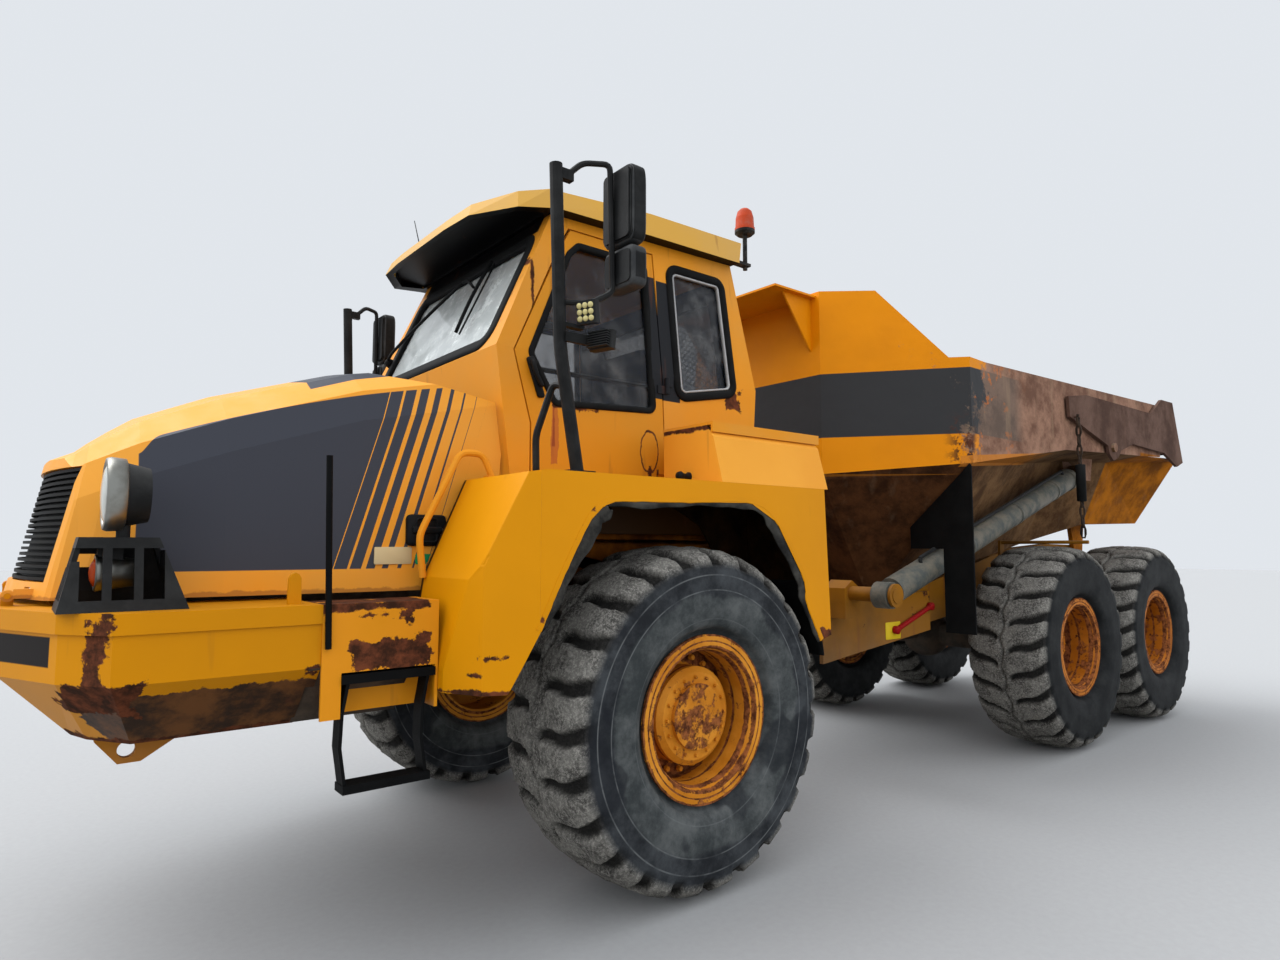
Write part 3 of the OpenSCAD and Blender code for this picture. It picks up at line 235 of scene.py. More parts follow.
def make_inside_group():
    """Mask of the cab's inner faces: 1 where a point lies over 30 mm inside the leaning outer walls."""
    group, start, end = start_group("cab_inside", [("Position", VECTOR, None)], ["Mask"])
    split = put(group, "ShaderNodeSeparateXYZ", {0: start.outputs["Position"]})
    x = minus(group, split.outputs[0], AXLE_X)
    across = maths(group, "ABSOLUTE", split.outputs[1])
    over = larger(group, minus(group, split.outputs[2], SILL_Z), 0.0)
    under = larger(group, minus(group, SILL_Z, split.outputs[2]), 0.0)

    def wall(base, lean_over, lean_under, along):
        lean = plus(group, times(group, over, lean_over), times(group, under, lean_under))
        return minus(group, minus(group, base, lean), along)

    side = wall(CAB_HALF, WALL_LEAN, 0.0, across)
    front = wall(CAB_FRONT, FRONT_LEAN, FRONT_LEAN_LOW, x)
    rear = wall(CAB_REAR, REAR_LEAN, REAR_LEAN_LOW, times(group, x, -1.0))
    top = minus(group, CAB_CEILING_Z, split.outputs[2])
    floor_depth = minus(group, split.outputs[2], CAB_FLOOR_Z)
    depth = maths(group, "MINIMUM", maths(group, "MINIMUM", side, front), maths(group, "MINIMUM", rear, top))
    depth = maths(group, "MINIMUM", depth, floor_depth)
    group.links.new(ramp(group, depth, 0.028, 0.032), end.inputs["Mask"])
    return group


def make_arch_group():
    """Mask of faces that look down, inwards, or to the wheel from the front and rear of its arch."""
    group, start, end = start_group("arch_faces", [("Position", VECTOR, None), ("Normal", VECTOR, None)],
                                    ["Mask"])
    where = put(group, "ShaderNodeSeparateXYZ", {0: start.outputs["Position"]})
    facing = put(group, "ShaderNodeSeparateXYZ", {0: start.outputs["Normal"]})
    side = maths(group, "SIGN", where.outputs[1])
    inwards = times(group, times(group, side, facing.outputs[1]), -1.0)
    ahead = maths(group, "SIGN", minus(group, where.outputs[0], AXLE_X))
    to_wheel = times(group, times(group, ahead, facing.outputs[0]), -1.0)
    down = times(group, facing.outputs[2], -1.0)
    furthest = larger(group, larger(group, inwards, to_wheel), down)
    inner = ramp(group, maths(group, "ABSOLUTE", where.outputs[1]), 0.83, 0.84, 1.0, 0.0)
    group.links.new(larger(group, ramp(group, furthest, 0.45, 0.55), inner), end.inputs["Mask"])
    return group


ZONE = make_zone_group()
ARCH_FACES = make_arch_group()
INSIDE = make_inside_group()
SPOTS = make_spots_group()
DUST = make_dust_group()
STREAKS = make_streak_group()


def use_group(tree, group, **inputs):
    """A group node with its inputs set by name; returns its mask."""
    node = put(tree, "ShaderNodeGroup", node_tree=group)
    for key, value in inputs.items():
        feed(tree, node, key, value)
    return node.outputs["Mask"]


def zone(tree, position, centre, half, ragged, softness=0.004, scale=12.0):
    """Mask of a box, given by its centre counted from the front axle and its half size."""
    return use_group(tree, ZONE, Position=position, Centre=tuple(place(*centre)), Half=half, Ragged=ragged,
                     Softness=softness, Scale=scale)


def new_material(name, shine=0.09):
    """An empty material with its shader, and the position and normal in the object's own space."""
    mat = bpy.data.materials.new(name)
    mat.use_nodes = True
    tree = mat.node_tree
    tree.nodes.clear()
    shader = tree.nodes.new("ShaderNodeBsdfPrincipled")
    out = tree.nodes.new("ShaderNodeOutputMaterial")
    tree.links.new(shader.outputs[0], out.inputs[0])
    shader.inputs["Specular IOR Level"].default_value = shine
    place_node = tree.nodes.new("ShaderNodeTexCoord")
    return mat, tree, shader, place_node.outputs["Object"], place_node.outputs["Normal"]


def finish_surface(tree, shader, colour, roughness, height, strength=0.3, distance=0.002):
    """Connect colour, roughness and bump to the shader."""
    tree.links.new(colour, shader.inputs["Base Color"])
    tree.links.new(roughness, shader.inputs["Roughness"])
    bump = put(tree, "ShaderNodeBump", {"Height": height, "Strength": strength, "Distance": distance})
    tree.links.new(bump.outputs[0], shader.inputs["Normal"])


RUST_DARK = srgb(52, 32, 22)
RUST_RED = srgb(112, 62, 40)
DUST_GREY = srgb(150, 146, 138)


def paint(name, colour, faded, chips=0.25, zones=(), dust=(0.9, 0.22, 0.12), streaks=0.3, rough=0.42,
          marks=(), lined=False, rings=(), arch_mud_and_shade=False, painted_visor_shade=False):
    """Worn paint. zones are rusty boxes (centre, half size, ragged, scale); marks are painted boxes
    (centre, half, colour or None for scuffed, ragged); rings are rust rings (centre, half size) on a side
    wall; lined trims the cab's inside in black; the arch flag darkens the faces that look into a wheel arch
    with mud and painted shade, and the visor flag paints near-black shade on those under the visor."""
    mat, tree, shader, position, normal = new_material(name)
    tone = ramp(tree, noise(tree, position, 0.9, 5.0), 0.35, 0.68)
    base = blend_colour(tree, tone, colour, faded)
    scuffed = blend_colour(tree, ramp(tree, noise(tree, position, 7.0, 8.0, 0.7), 0.38, 0.66), SCUFFED,
                           srgb(104, 66, 34))
    for centre, half, mark_colour, ragged in marks:
        mask = zone(tree, position, centre, half, ragged)
        base = blend_colour(tree, mask, base, mark_colour or scuffed)
    # Painted shade: faces that look down and the inner faces under the visor turn near-black
    if painted_visor_shade:
        upness = coordinate(tree, normal, 2)
        down = ramp(tree, upness, -0.25, -0.35)
        inner = zone(tree, position, (0.5, 0.0, 3.19), (0.285, 0.74, 0.075), 0.0)
        inner = times(tree, inner, ramp(tree, upness, 0.1, 0.2, 1.0, 0.0))
        base = blend_colour(tree, larger(tree, down, inner), base, srgb(7, 7, 9))
    run = use_group(tree, STREAKS, Position=position, Scale=13.0, Amount=streaks)
    base = blend_colour(tree, times(tree, run, 0.35), base, RUST_RED)
    rust = use_group(tree, SPOTS, Position=position, Scale=2.6, Amount=chips)
    for centre, half, ragged, scale in zones:
        mask = zone(tree, position, centre, half, ragged, 0.006, scale)
        rust = larger(tree, rust, mask)
    for centre, half in rings:
        away = vector_maths(tree, "SUBTRACT", position, tuple(place(*centre)))
        scaled = vector_maths(tree, "MULTIPLY", away, (1 / half[0], 0.0, 1 / half[1]))
        reach = put(tree, "ShaderNodeVectorMath", {0: scaled}, operation="LENGTH").outputs["Value"]
        reach = plus(tree, reach, times(tree, noise(tree, position, 22.0, 6.0, 0.7), 0.35))
        ring = ramp(tree, maths(tree, "ABSOLUTE", minus(tree, reach, 1.17)), 0.03, 0.09, 1.0, 0.0)
        near = ramp(tree, maths(tree, "ABSOLUTE", coordinate(tree, away, 1)), 0.1, 0.12, 1.0, 0.0)
        rust = larger(tree, rust, times(tree, ring, near))
    rust_tone = blend_colour(tree, ramp(tree, noise(tree, position, 17.0, 6.0, 0.7), 0.35, 0.7), RUST_DARK,
                             RUST_RED)
    base = blend_colour(tree, rust, base, rust_tone)
    dirt = use_group(tree, DUST, Position=position, Normal=normal, Top=dust[0], Amount=dust[1], Up=dust[2])
    base = blend_colour(tree, dirt, base, DUST_GREY)
    # Mud and painted shade: faces in an arch that look down, inwards or to the wheel turn dark brown
    if arch_mud_and_shade:
        mud_and_shade_tone = blend_colour(tree, ramp(tree, noise(tree, position, 6.0, 8.0, 0.7), 0.35, 0.7),
                           srgb(24, 17, 12), srgb(62, 40, 22))
        base = blend_colour(tree, use_group(tree, ARCH_FACES, Position=position, Normal=normal), base, mud_and_shade_tone)
    if lined:
        base = blend_colour(tree, use_group(tree, INSIDE, Position=position), base, srgb(30, 32, 36))
    roughness = plus(tree, times(tree, larger(tree, rust, dirt), 0.45), rough, clamp=True)
    grain = plus(tree, times(tree, noise(tree, position, 160.0, 3.0), 0.15),
                 times(tree, rust, minus(tree, noise(tree, position, 45.0, 6.0, 0.7), 1.0)))
    finish_surface(tree, shader, base, roughness, grain, 0.5, 0.0015)
    return mat


def rusty(name, dark, light, scale, rough=0.85, dust=(0.9, 0.3, 0.12)):
    """Bare rusted or grimy steel in two tones."""
    mat, tree, shader, position, normal = new_material(name)
    tone = ramp(tree, noise(tree, position, scale, 8.0, 0.68), 0.33, 0.66)
    base = blend_colour(tree, tone, dark, light)
    run = use_group(tree, STREAKS, Position=position, Scale=9.0, Amount=0.6)
    base = blend_colour(tree, times(tree, run, 0.4), base, light)
    dirt = use_group(tree, DUST, Position=position, Normal=normal, Top=dust[0], Amount=dust[1], Up=dust[2])
    base = blend_colour(tree, dirt, base, DUST_GREY)
    grain = noise(tree, position, 60.0, 8.0, 0.75)
    roughness = ramp(tree, tone, 0.0, 1.0, rough, rough - 0.2)
    finish_surface(tree, shader, base, roughness, grain, 0.6, 0.003)
    return mat


def rubber(name, colour, dusty, amount=0.5, grain_scale=220.0, bump=0.4, rough=0.8):
    """Dusty rubber or plastic with a fine grain."""
    mat, tree, shader, position, normal = new_material(name)
    patches = ramp(tree, noise(tree, position, 6.0, 8.0, 0.7), 0.35, 0.7, 0.0, amount)
    up = times(tree, larger(tree, coordinate(tree, normal, 2), 0.0), 0.4)
    mask = plus(tree, patches, up, clamp=True)
    base = blend_colour(tree, mask, colour, dusty)
    grain = plus(tree, noise(tree, position, grain_scale, 5.0, 0.7), noise(tree, position, 28.0, 4.0))
    finish_surface(tree, shader, base, ramp(tree, mask, 0.0, 1.0, rough - 0.15, rough + 0.1), grain, bump,
                   0.002)
    return mat


def metal(name, colour, rough, grime=0.4, metallic=1.0):
    """Bare or plated metal with smears."""
    mat, tree, shader, position, normal = new_material(name)
    smear = ramp(tree, noise(tree, position, 12.0, 6.0, 0.65), 0.35, 0.7, 0.0, grime)
    base = blend_colour(tree, smear, colour, srgb(96, 92, 84))
    finish_surface(tree, shader, base, ramp(tree, smear, 0.0, 1.0, rough, min(rough + 0.4, 1.0)),
                   noise(tree, position, 90.0, 4.0), 0.15, 0.001)
    shader.inputs["Metallic"].default_value = metallic
    return mat


def glass(name, tint, alpha=0.55, rough=0.08):
    """Dusty tinted glass: a clear shader with dust in patches, and a pale film on panes that face forward."""
    mat, tree, shader, position, normal = new_material(name, 0.6)
    patches = ramp(tree, noise(tree, position, 5.0, 7.0, 0.7), 0.4, 0.75, 0.0, 0.35)
    film = ramp(tree, coordinate(tree, normal, 0), 0.4, 0.6)
    cloudy = ramp(tree, noise(tree, position, 1.3, 3.0), 0.35, 0.65, 0.62, 0.86)
    base = blend_colour(tree, patches, tint, srgb(150, 152, 150))
    base = blend_colour(tree, times(tree, film, cloudy), base, srgb(218, 225, 225))
    tree.links.new(base, shader.inputs["Base Color"])
    tree.links.new(ramp(tree, patches, 0.0, 0.35, rough, rough + 0.3), shader.inputs["Roughness"])
    clear = ramp(tree, patches, 0.0, 0.35, alpha, min(alpha + 0.25, 1.0))
    tree.links.new(plus(tree, clear, times(tree, film, 0.22), clamp=True), shader.inputs["Alpha"])
    return mat


def wheel_reach(tree, position):
    """Distance from the middle of the nearest wheel, seen from the side, the depth past the wheel's middle,
    and 1 where that wheel is one of the rear four."""
    split = put(tree, "ShaderNodeSeparateXYZ", {0: position})
    x = minus(tree, split.outputs[0], AXLE_X)
    # The wheel whose middle is nearest along the truck
    rear = maths(tree, "LESS_THAN", x, (WHEEL_X["middle"] + WHEEL_X["rear"]) / 2)
    behind = maths(tree, "LESS_THAN", x, WHEEL_X["middle"] / 2)
    hub = plus(tree, times(tree, behind, WHEEL_X["middle"]),
               times(tree, rear, WHEEL_X["rear"] - WHEEL_X["middle"]))
    across = minus(tree, x, hub)
    height = minus(tree, split.outputs[2], TYRE_R)
    reach = maths(tree, "SQRT", plus(tree, times(tree, across, across), times(tree, height, height)))
    depth = minus(tree, maths(tree, "ABSOLUTE", split.outputs[1]), TRACK)
    return reach, depth, behind


def band(tree, value, level, half, soft):
    """1 where a value lies within a half width of a level, falling to 0 over a softness."""
    away = maths(tree, "ABSOLUTE", minus(tree, value, level))
    return ramp(tree, away, half, half + soft, 1.0, 0.0)


def rim_material(name, paint_tones, rust_share):
    """Wheel rim: paint with rust on the flange's edges, in rings down the barrel and in small patches."""
    mat, tree, shader, position, normal = new_material(name)
    reach, depth, _ = wheel_reach(tree, position)
    worn = noise(tree, position, 14.0, 8.0, 0.72)
    base = blend_colour(tree, ramp(tree, noise(tree, position, 4.0, 5.0), 0.35, 0.65), *paint_tones)
    inside = ramp(tree, reach, 0.306, 0.312, 1.0, 0.0)
    rings = larger(tree, band(tree, depth, 0.215, 0.016, 0.012), band(tree, depth, 0.120, 0.003, 0.008))
    rings = larger(tree, rings, band(tree, depth, 0.030, 0.012, 0.020))
    rings = times(tree, rings, inside)
    for level, half, soft in ((0.381, 0.005, 0.007), (0.350, 0.0015, 0.004), (0.322, 0.004, 0.008)):
        rings = larger(tree, rings, band(tree, reach, level, half, soft))
    level = plus(tree, worn, times(tree, rings, 0.24))
    rust = ramp(tree, level, 0.66 - rust_share, 0.74 - rust_share)
    rust_tone = blend_colour(tree, ramp(tree, noise(tree, position, 26.0, 6.0, 0.7), 0.35, 0.65),
                             srgb(74, 40, 24), srgb(150, 90, 50))
    base = blend_colour(tree, rust, base, rust_tone)
    grain = plus(tree, noise(tree, position, 70.0, 6.0, 0.7), times(tree, rust, -0.6))
    finish_surface(tree, shader, base, ramp(tree, rust, 0.0, 1.0, 0.5, 0.9), grain, 0.6, 0.002)
    return mat


def by_height(name, low, high, level, rough=0.5, shine=0.12, speck=0.25):
    """Two tones that meet at a height, each with smears of dust."""
    mat, tree, shader, position, normal = new_material(name, shine)
    height = coordinate(tree, position, 2)
    base = blend_colour(tree, ramp(tree, height, level - 0.001, level + 0.001), low, high)
    smear = ramp(tree, noise(tree, position, 16.0, 7.0, 0.7), 0.4, 0.75, 0.0, speck)
    base = blend_colour(tree, smear, base, DUST_GREY)
    finish_surface(tree, shader, base, ramp(tree, smear, 0.0, 1.0, rough, 0.9),
                   noise(tree, position, 120.0, 4.0), 0.2, 0.001)
    return mat


AMBER = srgb(222, 144, 30)
AMBER_FADED = srgb(212, 146, 56)
YELLOW = srgb(216, 143, 2)
YELLOW_FADED = srgb(202, 132, 4)
BODY_ORANGE = srgb(224, 139, 4)
STRIPE_GREY = srgb(54, 55, 57)
DECAL_GREY = srgb(62, 65, 74)
TRIM_BLACK = srgb(34, 36, 40)
SCUFFED = srgb(46, 31, 20)

MAT = {
    "cab": paint("cab_paint", AMBER, AMBER_FADED, 0.12,
                 [((0.38, 0.8, 2.258), (0.14, 0.1, 0.008), 0.02, 14.0),
                  ((-0.74, 0.8, 2.43), (0.05, 0.1, 0.05), 0.05, 12.0),
                  ((0.62, 0.78, 2.9), (0.009, 0.1, 0.4), 0.012, 13.0)], streaks=0.35, lined=True,
                 marks=[((-0.245, 0.0, 2.7025), (0.072, 1.0, 0.3375), TRIM_BLACK, 0.0005),
                        # Dark brown band on the cab's lower walls under the fender tops: painted shade and
                        # dirt
                        ((0.0, 0.0, 1.70), (1.2, 1.2, 0.14), srgb(66, 40, 14), 0.004),
                        # Near-black strip under the visor's front edge: painted shade
                        ((0.52, 0.0, 3.215), (0.10, 0.68, 0.055), srgb(8, 8, 10), 0.0005)]),
    "door": paint("door_paint", srgb(214, 138, 24), srgb(206, 138, 34), 0.1,
                  [((0.38, 0.8, 2.258), (0.14, 0.1, 0.008), 0.02, 14.0),
                   ((-0.10, 0.8, 1.955), (0.010, 0.1, 0.05), 0.02, 8.0),
                   ((-0.150, 0.8, 1.955), (0.004, 0.1, 0.03), 0.008, 8.0)],
                  streaks=0.45, lined=True, rings=[((-0.096, 0.8, 2.078), (0.060, 0.112))],
                  marks=[((-0.170, 0.0, 2.710), (0.066, 1.0, 0.340), TRIM_BLACK, 0.0005),
                         ((0.500, 0.8, 2.12), (0.020, 0.1, 0.15), srgb(184, 104, 40), 0.010),
                         ((0.507, 0.8, 2.16), (0.006, 0.1, 0.10), srgb(150, 72, 34), 0.006)]),
    # The roof's faces under the visor carry painted near-black shade
    "roof": paint("roof_paint", srgb(206, 158, 66), srgb(198, 156, 84), 0.1, dust=(0.1, 0.3, 0.3),
                  streaks=0.2, painted_visor_shade=True),
    "amber": paint("amber_paint", AMBER, AMBER_FADED, 0.16, streaks=0.25),
    "yellow": paint("yellow_paint", YELLOW, YELLOW_FADED, 0.18, streaks=0.25),
    "box": paint("box_paint", srgb(232, 160, 52), srgb(224, 150, 44), 0.12, streaks=0.2,
                 zones=[((-0.06, 1.2, 2.15), (0.02, 0.3, 0.012), 0.012, 14.0)]),
    # The fender's faces inside the arch carry mud and painted shade
    "fender": paint("fender_paint", YELLOW, srgb(208, 137, 2), 0.12,
                    [((1.10, 1.2, 1.026), (0.3, 0.4, 0.008), 0.016, 14.0),
                     ((-0.78, 1.2, 1.12), (0.1, 0.4, 0.03), 0.04, 9.0),
                     ((1.09, 1.33, 1.155), (0.05, 0.1, 0.004), 0.02, 22.0),
                     ((1.15, 1.25, 1.093), (0.015, 0.1, 0.006), 0.01, 20.0)],
                    streaks=0.15, arch_mud_and_shade=True),
    "bumper": paint("bumper_paint", srgb(206, 136, 2), srgb(196, 129, 4), 0.2,
                    [((2.30, 1.04, 1.24), (0.018, 0.12, 0.10), 0.04, 9.0),
                     ((2.28, 1.0, 1.10), (0.09, 0.2, 0.05), 0.05, 8.0),
                     ((2.3, -1.0, 1.1), (0.2, 0.2, 0.06), 0.06, 7.0),
                     ((2.1, 0.0, 0.935), (0.6, 1.1, 0.012), 0.03, 9.0),
                     ((1.68, 1.1, 1.14), (0.02, 0.1, 0.02), 0.03, 14.0),
                     ((2.28, 1.1, 1.385), (0.015, 0.05, 0.03), 0.02, 18.0)],
                    streaks=0.3,
                    marks=[((1.90, 1.02, 1.00), (0.42, 0.2, 0.112), None, 0.02),
                           ((1.90, -1.02, 1.00), (0.42, 0.2, 0.10), None, 0.03),
                           # Near-black strip across the front chamfer: painted shade of a recess
                           ((2.50, 0.0, 1.245), (0.105, 0.885, 0.047), srgb(18, 9, 6), 0.0005)]),
    "panel": paint("panel_paint", srgb(206, 134, 16), AMBER, 0.2,
                   [((1.392, 1.1, 1.182), (0.14, 0.05, 0.058), 0.05, 9.0),
                    ((1.46, 1.1, 1.360), (0.21, 0.3, 0.022), 0.02, 12.0),
                    ((1.42, 1.1, 1.325), (0.10, 0.3, 0.018), 0.04, 12.0)],
                   streaks=0.3),
    "frame": paint("frame_paint", srgb(206, 134, 8), srgb(166, 104, 20), 0.45, dust=(1.2, 0.5, 0.3),
                   streaks=0.5, rough=0.6),
    # Rear frame: the frame's orange paint darkened by dirt and painted shade
    "rear_frame": paint("rear_frame_paint_dirt_and_shade", srgb(150, 98, 18), srgb(104, 70, 26), 0.5, dust=(1.2, 0.5, 0.3),
                        streaks=0.5,
                        rough=0.6),
    "rust": rusty("rusted_steel", srgb(34, 26, 20), srgb(78, 60, 46), 5.0, dust=(1.3, 0.5, 0.3)),
    "gate": rusty("gate_steel", srgb(74, 54, 46), srgb(104, 78, 66), 3.0, dust=(0.1, 0.2, 0.2)),
    "chain": rusty("chain_steel", srgb(34, 29, 25), srgb(70, 56, 46), 14.0),
    "grey": rusty("grey_steel", srgb(72, 79, 79), srgb(112, 107, 96), 7.0, 0.6, dust=(0.5, 0.3, 0.3)),
    "engine": rusty("engine_steel", srgb(40, 40, 39), srgb(68, 66, 62), 9.0, 0.7),
    "black": rubber("black_plastic", srgb(25, 26, 27), srgb(66, 67, 67), 0.3, 300.0, 0.25, 0.6),
    "grille": rubber("grille_black", srgb(11, 11, 11), srgb(52, 49, 43), 0.3, 120.0, 0.3, 0.7),
    "flap": rubber("flap_rubber", srgb(7, 8, 9), srgb(26, 27, 27), 0.3, 90.0, 0.4),
    "seal": rubber("seal_rubber", srgb(13, 14, 15), srgb(44, 45, 45), 0.3, 260.0, 0.3),
    "lip": rubber("lip_rubber", srgb(26, 26, 26), srgb(96, 94, 88), 0.5, 60.0, 0.5),
    "arch_edge": paint("arch_edge_paint", YELLOW, srgb(202, 133, 2), 0.62, streaks=0.2,
                       dust=(0.1, 0.1, 0.1)),
    # Inner arch wall: its orange paint darkened to brown as painted shade
    "arch_wall": rusty("arch_wall_painted_shade", srgb(74, 36, 8), srgb(142, 80, 8), 3.0, dust=(0.1, 0.1, 0.1)),
    "beacon": by_height("beacon_lamp", srgb(26, 27, 28), srgb(178, 66, 34), 3.52),
    "mirror_shell": rubber("mirror_shell", srgb(50, 52, 54), srgb(98, 99, 99), 0.4, 200.0, 0.3, 0.6),
    "chrome": metal("rod_chrome", srgb(190, 192, 194), 0.18, 0.3),
    "bezel": metal("lamp_bezel", srgb(150, 150, 144), 0.35, 0.4),
    "glass": glass("window_glass", srgb(14, 20, 34), 0.34),
    "trim": metal("window_trim", srgb(176, 178, 180), 0.4, 0.3, 0.2),
    "lens": metal("lamp_lens", srgb(190, 194, 190), 0.12, 0.2, 0.0),
    "led": metal("led_lens", srgb(206, 196, 140), 0.25, 0.3, 0.0),
    "orange_lens": metal("orange_lens", srgb(198, 72, 16), 0.2, 0.3, 0.0),
    "red": paint("red_paint", srgb(160, 22, 24), srgb(140, 32, 28), 0.25, dust=(0.1, 0.2, 0.2)),
    "sign": paint("sign_paint", srgb(226, 196, 40), srgb(206, 178, 44), 0.12, dust=(0.1, 0.2, 0.2)),
    "cream": paint("cream_sticker", srgb(208, 190, 146), srgb(196, 178, 138), 0.12, dust=(0.1, 0.2, 0.2)),
    "green": paint("green_sticker", srgb(24, 140, 84), srgb(40, 150, 96), 0.12, dust=(0.1, 0.2, 0.2)),
    "latch": rubber("latch_black", srgb(17, 18, 20), srgb(46, 47, 47), 0.3, 340.0, 0.2, 0.5),
    "rim": rim_material("rim_paint", (srgb(188, 116, 26), srgb(214, 142, 46)), 0.10),
    "rear_rim": rim_material("rear_rim_paint", (srgb(166, 96, 22), srgb(194, 118, 36)), 0.16),
    "mirror": metal("mirror_glass", srgb(200, 205, 210), 0.05, 0.1),
}


# The grey stripe's lower and upper edge, and half the softness of each
STRIPE_LOW = 2.328
STRIPE_HIGH = 2.778
STRIPE_SOFT = 0.003


def body_material():
    """Dump body: orange with a grey stripe ahead of the bend in its side, bare and rusty steel behind it
    and below."""
    mat, tree, shader, position, normal = new_material("body_paint")
    split = put(tree, "ShaderNodeSeparateXYZ", {0: position})
    facing = put(tree, "ShaderNodeSeparateXYZ", {0: normal})
    x, y, z = split.outputs[0], split.outputs[1], split.outputs[2]
    tone = ramp(tree, noise(tree, position, 0.9, 5.0), 0.35, 0.68)
    base = blend_colour(tree, tone, BODY_ORANGE, srgb(212, 130, 8))
    stripe = times(tree, ramp(tree, z, STRIPE_LOW - STRIPE_SOFT, STRIPE_LOW + STRIPE_SOFT),
                   ramp(tree, z, STRIPE_HIGH - STRIPE_SOFT, STRIPE_HIGH + STRIPE_SOFT, 1.0, 0.0))
    base = blend_colour(tree, stripe, base, STRIPE_GREY)
    wobble = minus(tree, noise(tree, position, 2.6, 9.0, 0.74), 0.5)
    steel_tone = ramp(tree, noise(tree, position, 3.5, 9.0, 0.72), 0.36, 0.64)
    wall_steel = blend_colour(tree, steel_tone, srgb(106, 76, 62), srgb(158, 122, 102))
    hull_front = blend_colour(tree, steel_tone, srgb(48, 28, 14), srgb(86, 54, 30))
    hull_rear = blend_colour(tree, steel_tone, srgb(78, 54, 34), srgb(126, 95, 64))
    hull_steel = blend_colour(tree, ramp(tree, x, AXLE_X - 2.5, AXLE_X - 2.9), hull_front, hull_rear)
    # Behind the bend the paint is patchy and then gone; the stripe stays as a grey shadow for a while
    rear = ramp(tree, plus(tree, x, times(tree, wobble, 2.4)), AXLE_X - 2.46, AXLE_X - 2.62)
    shadow = times(tree, stripe, ramp(tree, x, AXLE_X - 3.0, AXLE_X - 3.2, 0.6, 0.0))
    wall_steel = blend_colour(tree, shadow, wall_steel, srgb(92, 88, 82))
    rests = use_group(tree, SPOTS, Position=position, Scale=3.2, Amount=0.75)
    near_bend = ramp(tree, x, AXLE_X - 3.3, AXLE_X - 2.5)
    wall_steel = blend_colour(tree, times(tree, times(tree, rests, near_bend), 0.8), wall_steel,
                              srgb(196, 112, 52))
    bend = ramp(tree, maths(tree, "ABSOLUTE", minus(tree, x, AXLE_X - 2.40)), 0.02, 0.10, 1.0, 0.0)
    chips = use_group(tree, SPOTS, Position=position, Scale=4.2, Amount=0.22)
    bend_rust = times(tree, bend, ramp(tree, noise(tree, position, 12.0, 7.0, 0.7), 0.48, 0.54))
    chips = larger(tree, chips, times(tree, bend_rust, ramp(tree, z, 2.5, 2.3)))
    base = blend_colour(tree, chips, base, blend_colour(tree, steel_tone, RUST_DARK, RUST_RED))
    base = blend_colour(tree, rear, base, wall_steel)
    # Under the side walls the hull is bare, but for a painted strip along the rear walls' lower edge
    down = ramp(tree, facing.outputs[2], -0.12, -0.2)
    low = times(tree, larger(tree, down, ramp(tree, z, 2.062, 2.056)), ramp(tree, z, 2.50, 2.44))
    base = blend_colour(tree, low, base, hull_steel)
    strip_z = plus(tree, times(tree, minus(tree, x, AXLE_X - 2.37), -0.0887), 2.141)
    strip = ramp(tree, maths(tree, "ABSOLUTE", minus(tree, z, strip_z)), 0.034, 0.038, 1.0, 0.0)
    strip = times(tree, strip,
                  times(tree, ramp(tree, x, AXLE_X - 2.37, AXLE_X - 2.375),
                        ramp(tree, x, AXLE_X - 3.9, AXLE_X - 3.6)))
    base = blend_colour(tree, times(tree, strip, ramp(tree, wobble, 0.12, -0.02, 0.25, 0.85)), base,
                        srgb(190, 118, 40))
    # The fishtail's outside is painted again, the load side is worn bare everywhere
    chute = times(tree, ramp(tree, x, AXLE_X - 5.43, AXLE_X - 5.45), ramp(tree, z, 2.44, 2.42))
    chute = times(tree, chute, ramp(tree, plus(tree, facing.outputs[2], wobble), 0.3, 0.1))
    base = blend_colour(tree, chute, base,
                        blend_colour(tree, steel_tone, srgb(124, 72, 12), srgb(184, 110, 14)))
    inwards = times(tree, times(tree, maths(tree, "SIGN", y), facing.outputs[1]), -1.0)
    ahead = times(tree, facing.outputs[0], ramp(tree, x, AXLE_X - 1.7, AXLE_X - 1.5, -1.0, 0.0))
    load_side = larger(tree, ramp(tree, inwards, 0.25, 0.35), ramp(tree, ahead, 0.5, 0.6))
    floor_side = times(tree, ramp(tree, facing.outputs[2], 0.4, 0.5), ramp(tree, z, 2.5, 2.4))
    load_side = larger(tree, load_side, floor_side)
    worn_steel = blend_colour(tree, steel_tone, srgb(86, 72, 60), srgb(132, 116, 100))
    base = blend_colour(tree, load_side, base, worn_steel)
    bare = larger(tree, larger(tree, rear, low), load_side)
    run = use_group(tree, STREAKS, Position=position, Scale=9.0, Amount=0.55)
    run = times(tree, run, minus(tree, bare, times(tree, low, 0.75)))
    base = blend_colour(tree, times(tree, run, 0.4), base, srgb(150, 128, 104))
    dirt = use_group(tree, DUST, Position=position, Normal=normal, Top=1.0, Amount=0.2, Up=0.5)
    base = blend_colour(tree, dirt, base, srgb(120, 108, 96))
    roughness = ramp(tree, bare, 0.0, 1.0, 0.45, 0.85)
    dents = noise(tree, position, 2.4, 3.0)
    pits = times(tree, noise(tree, position, 60.0, 7.0, 0.72), ramp(tree, bare, 0.0, 1.0, 0.05, 0.3))
    finish_surface(tree, shader, base, roughness, plus(tree, pits, dents), 0.6, 0.02)
    return mat


MAT["body"] = body_material()


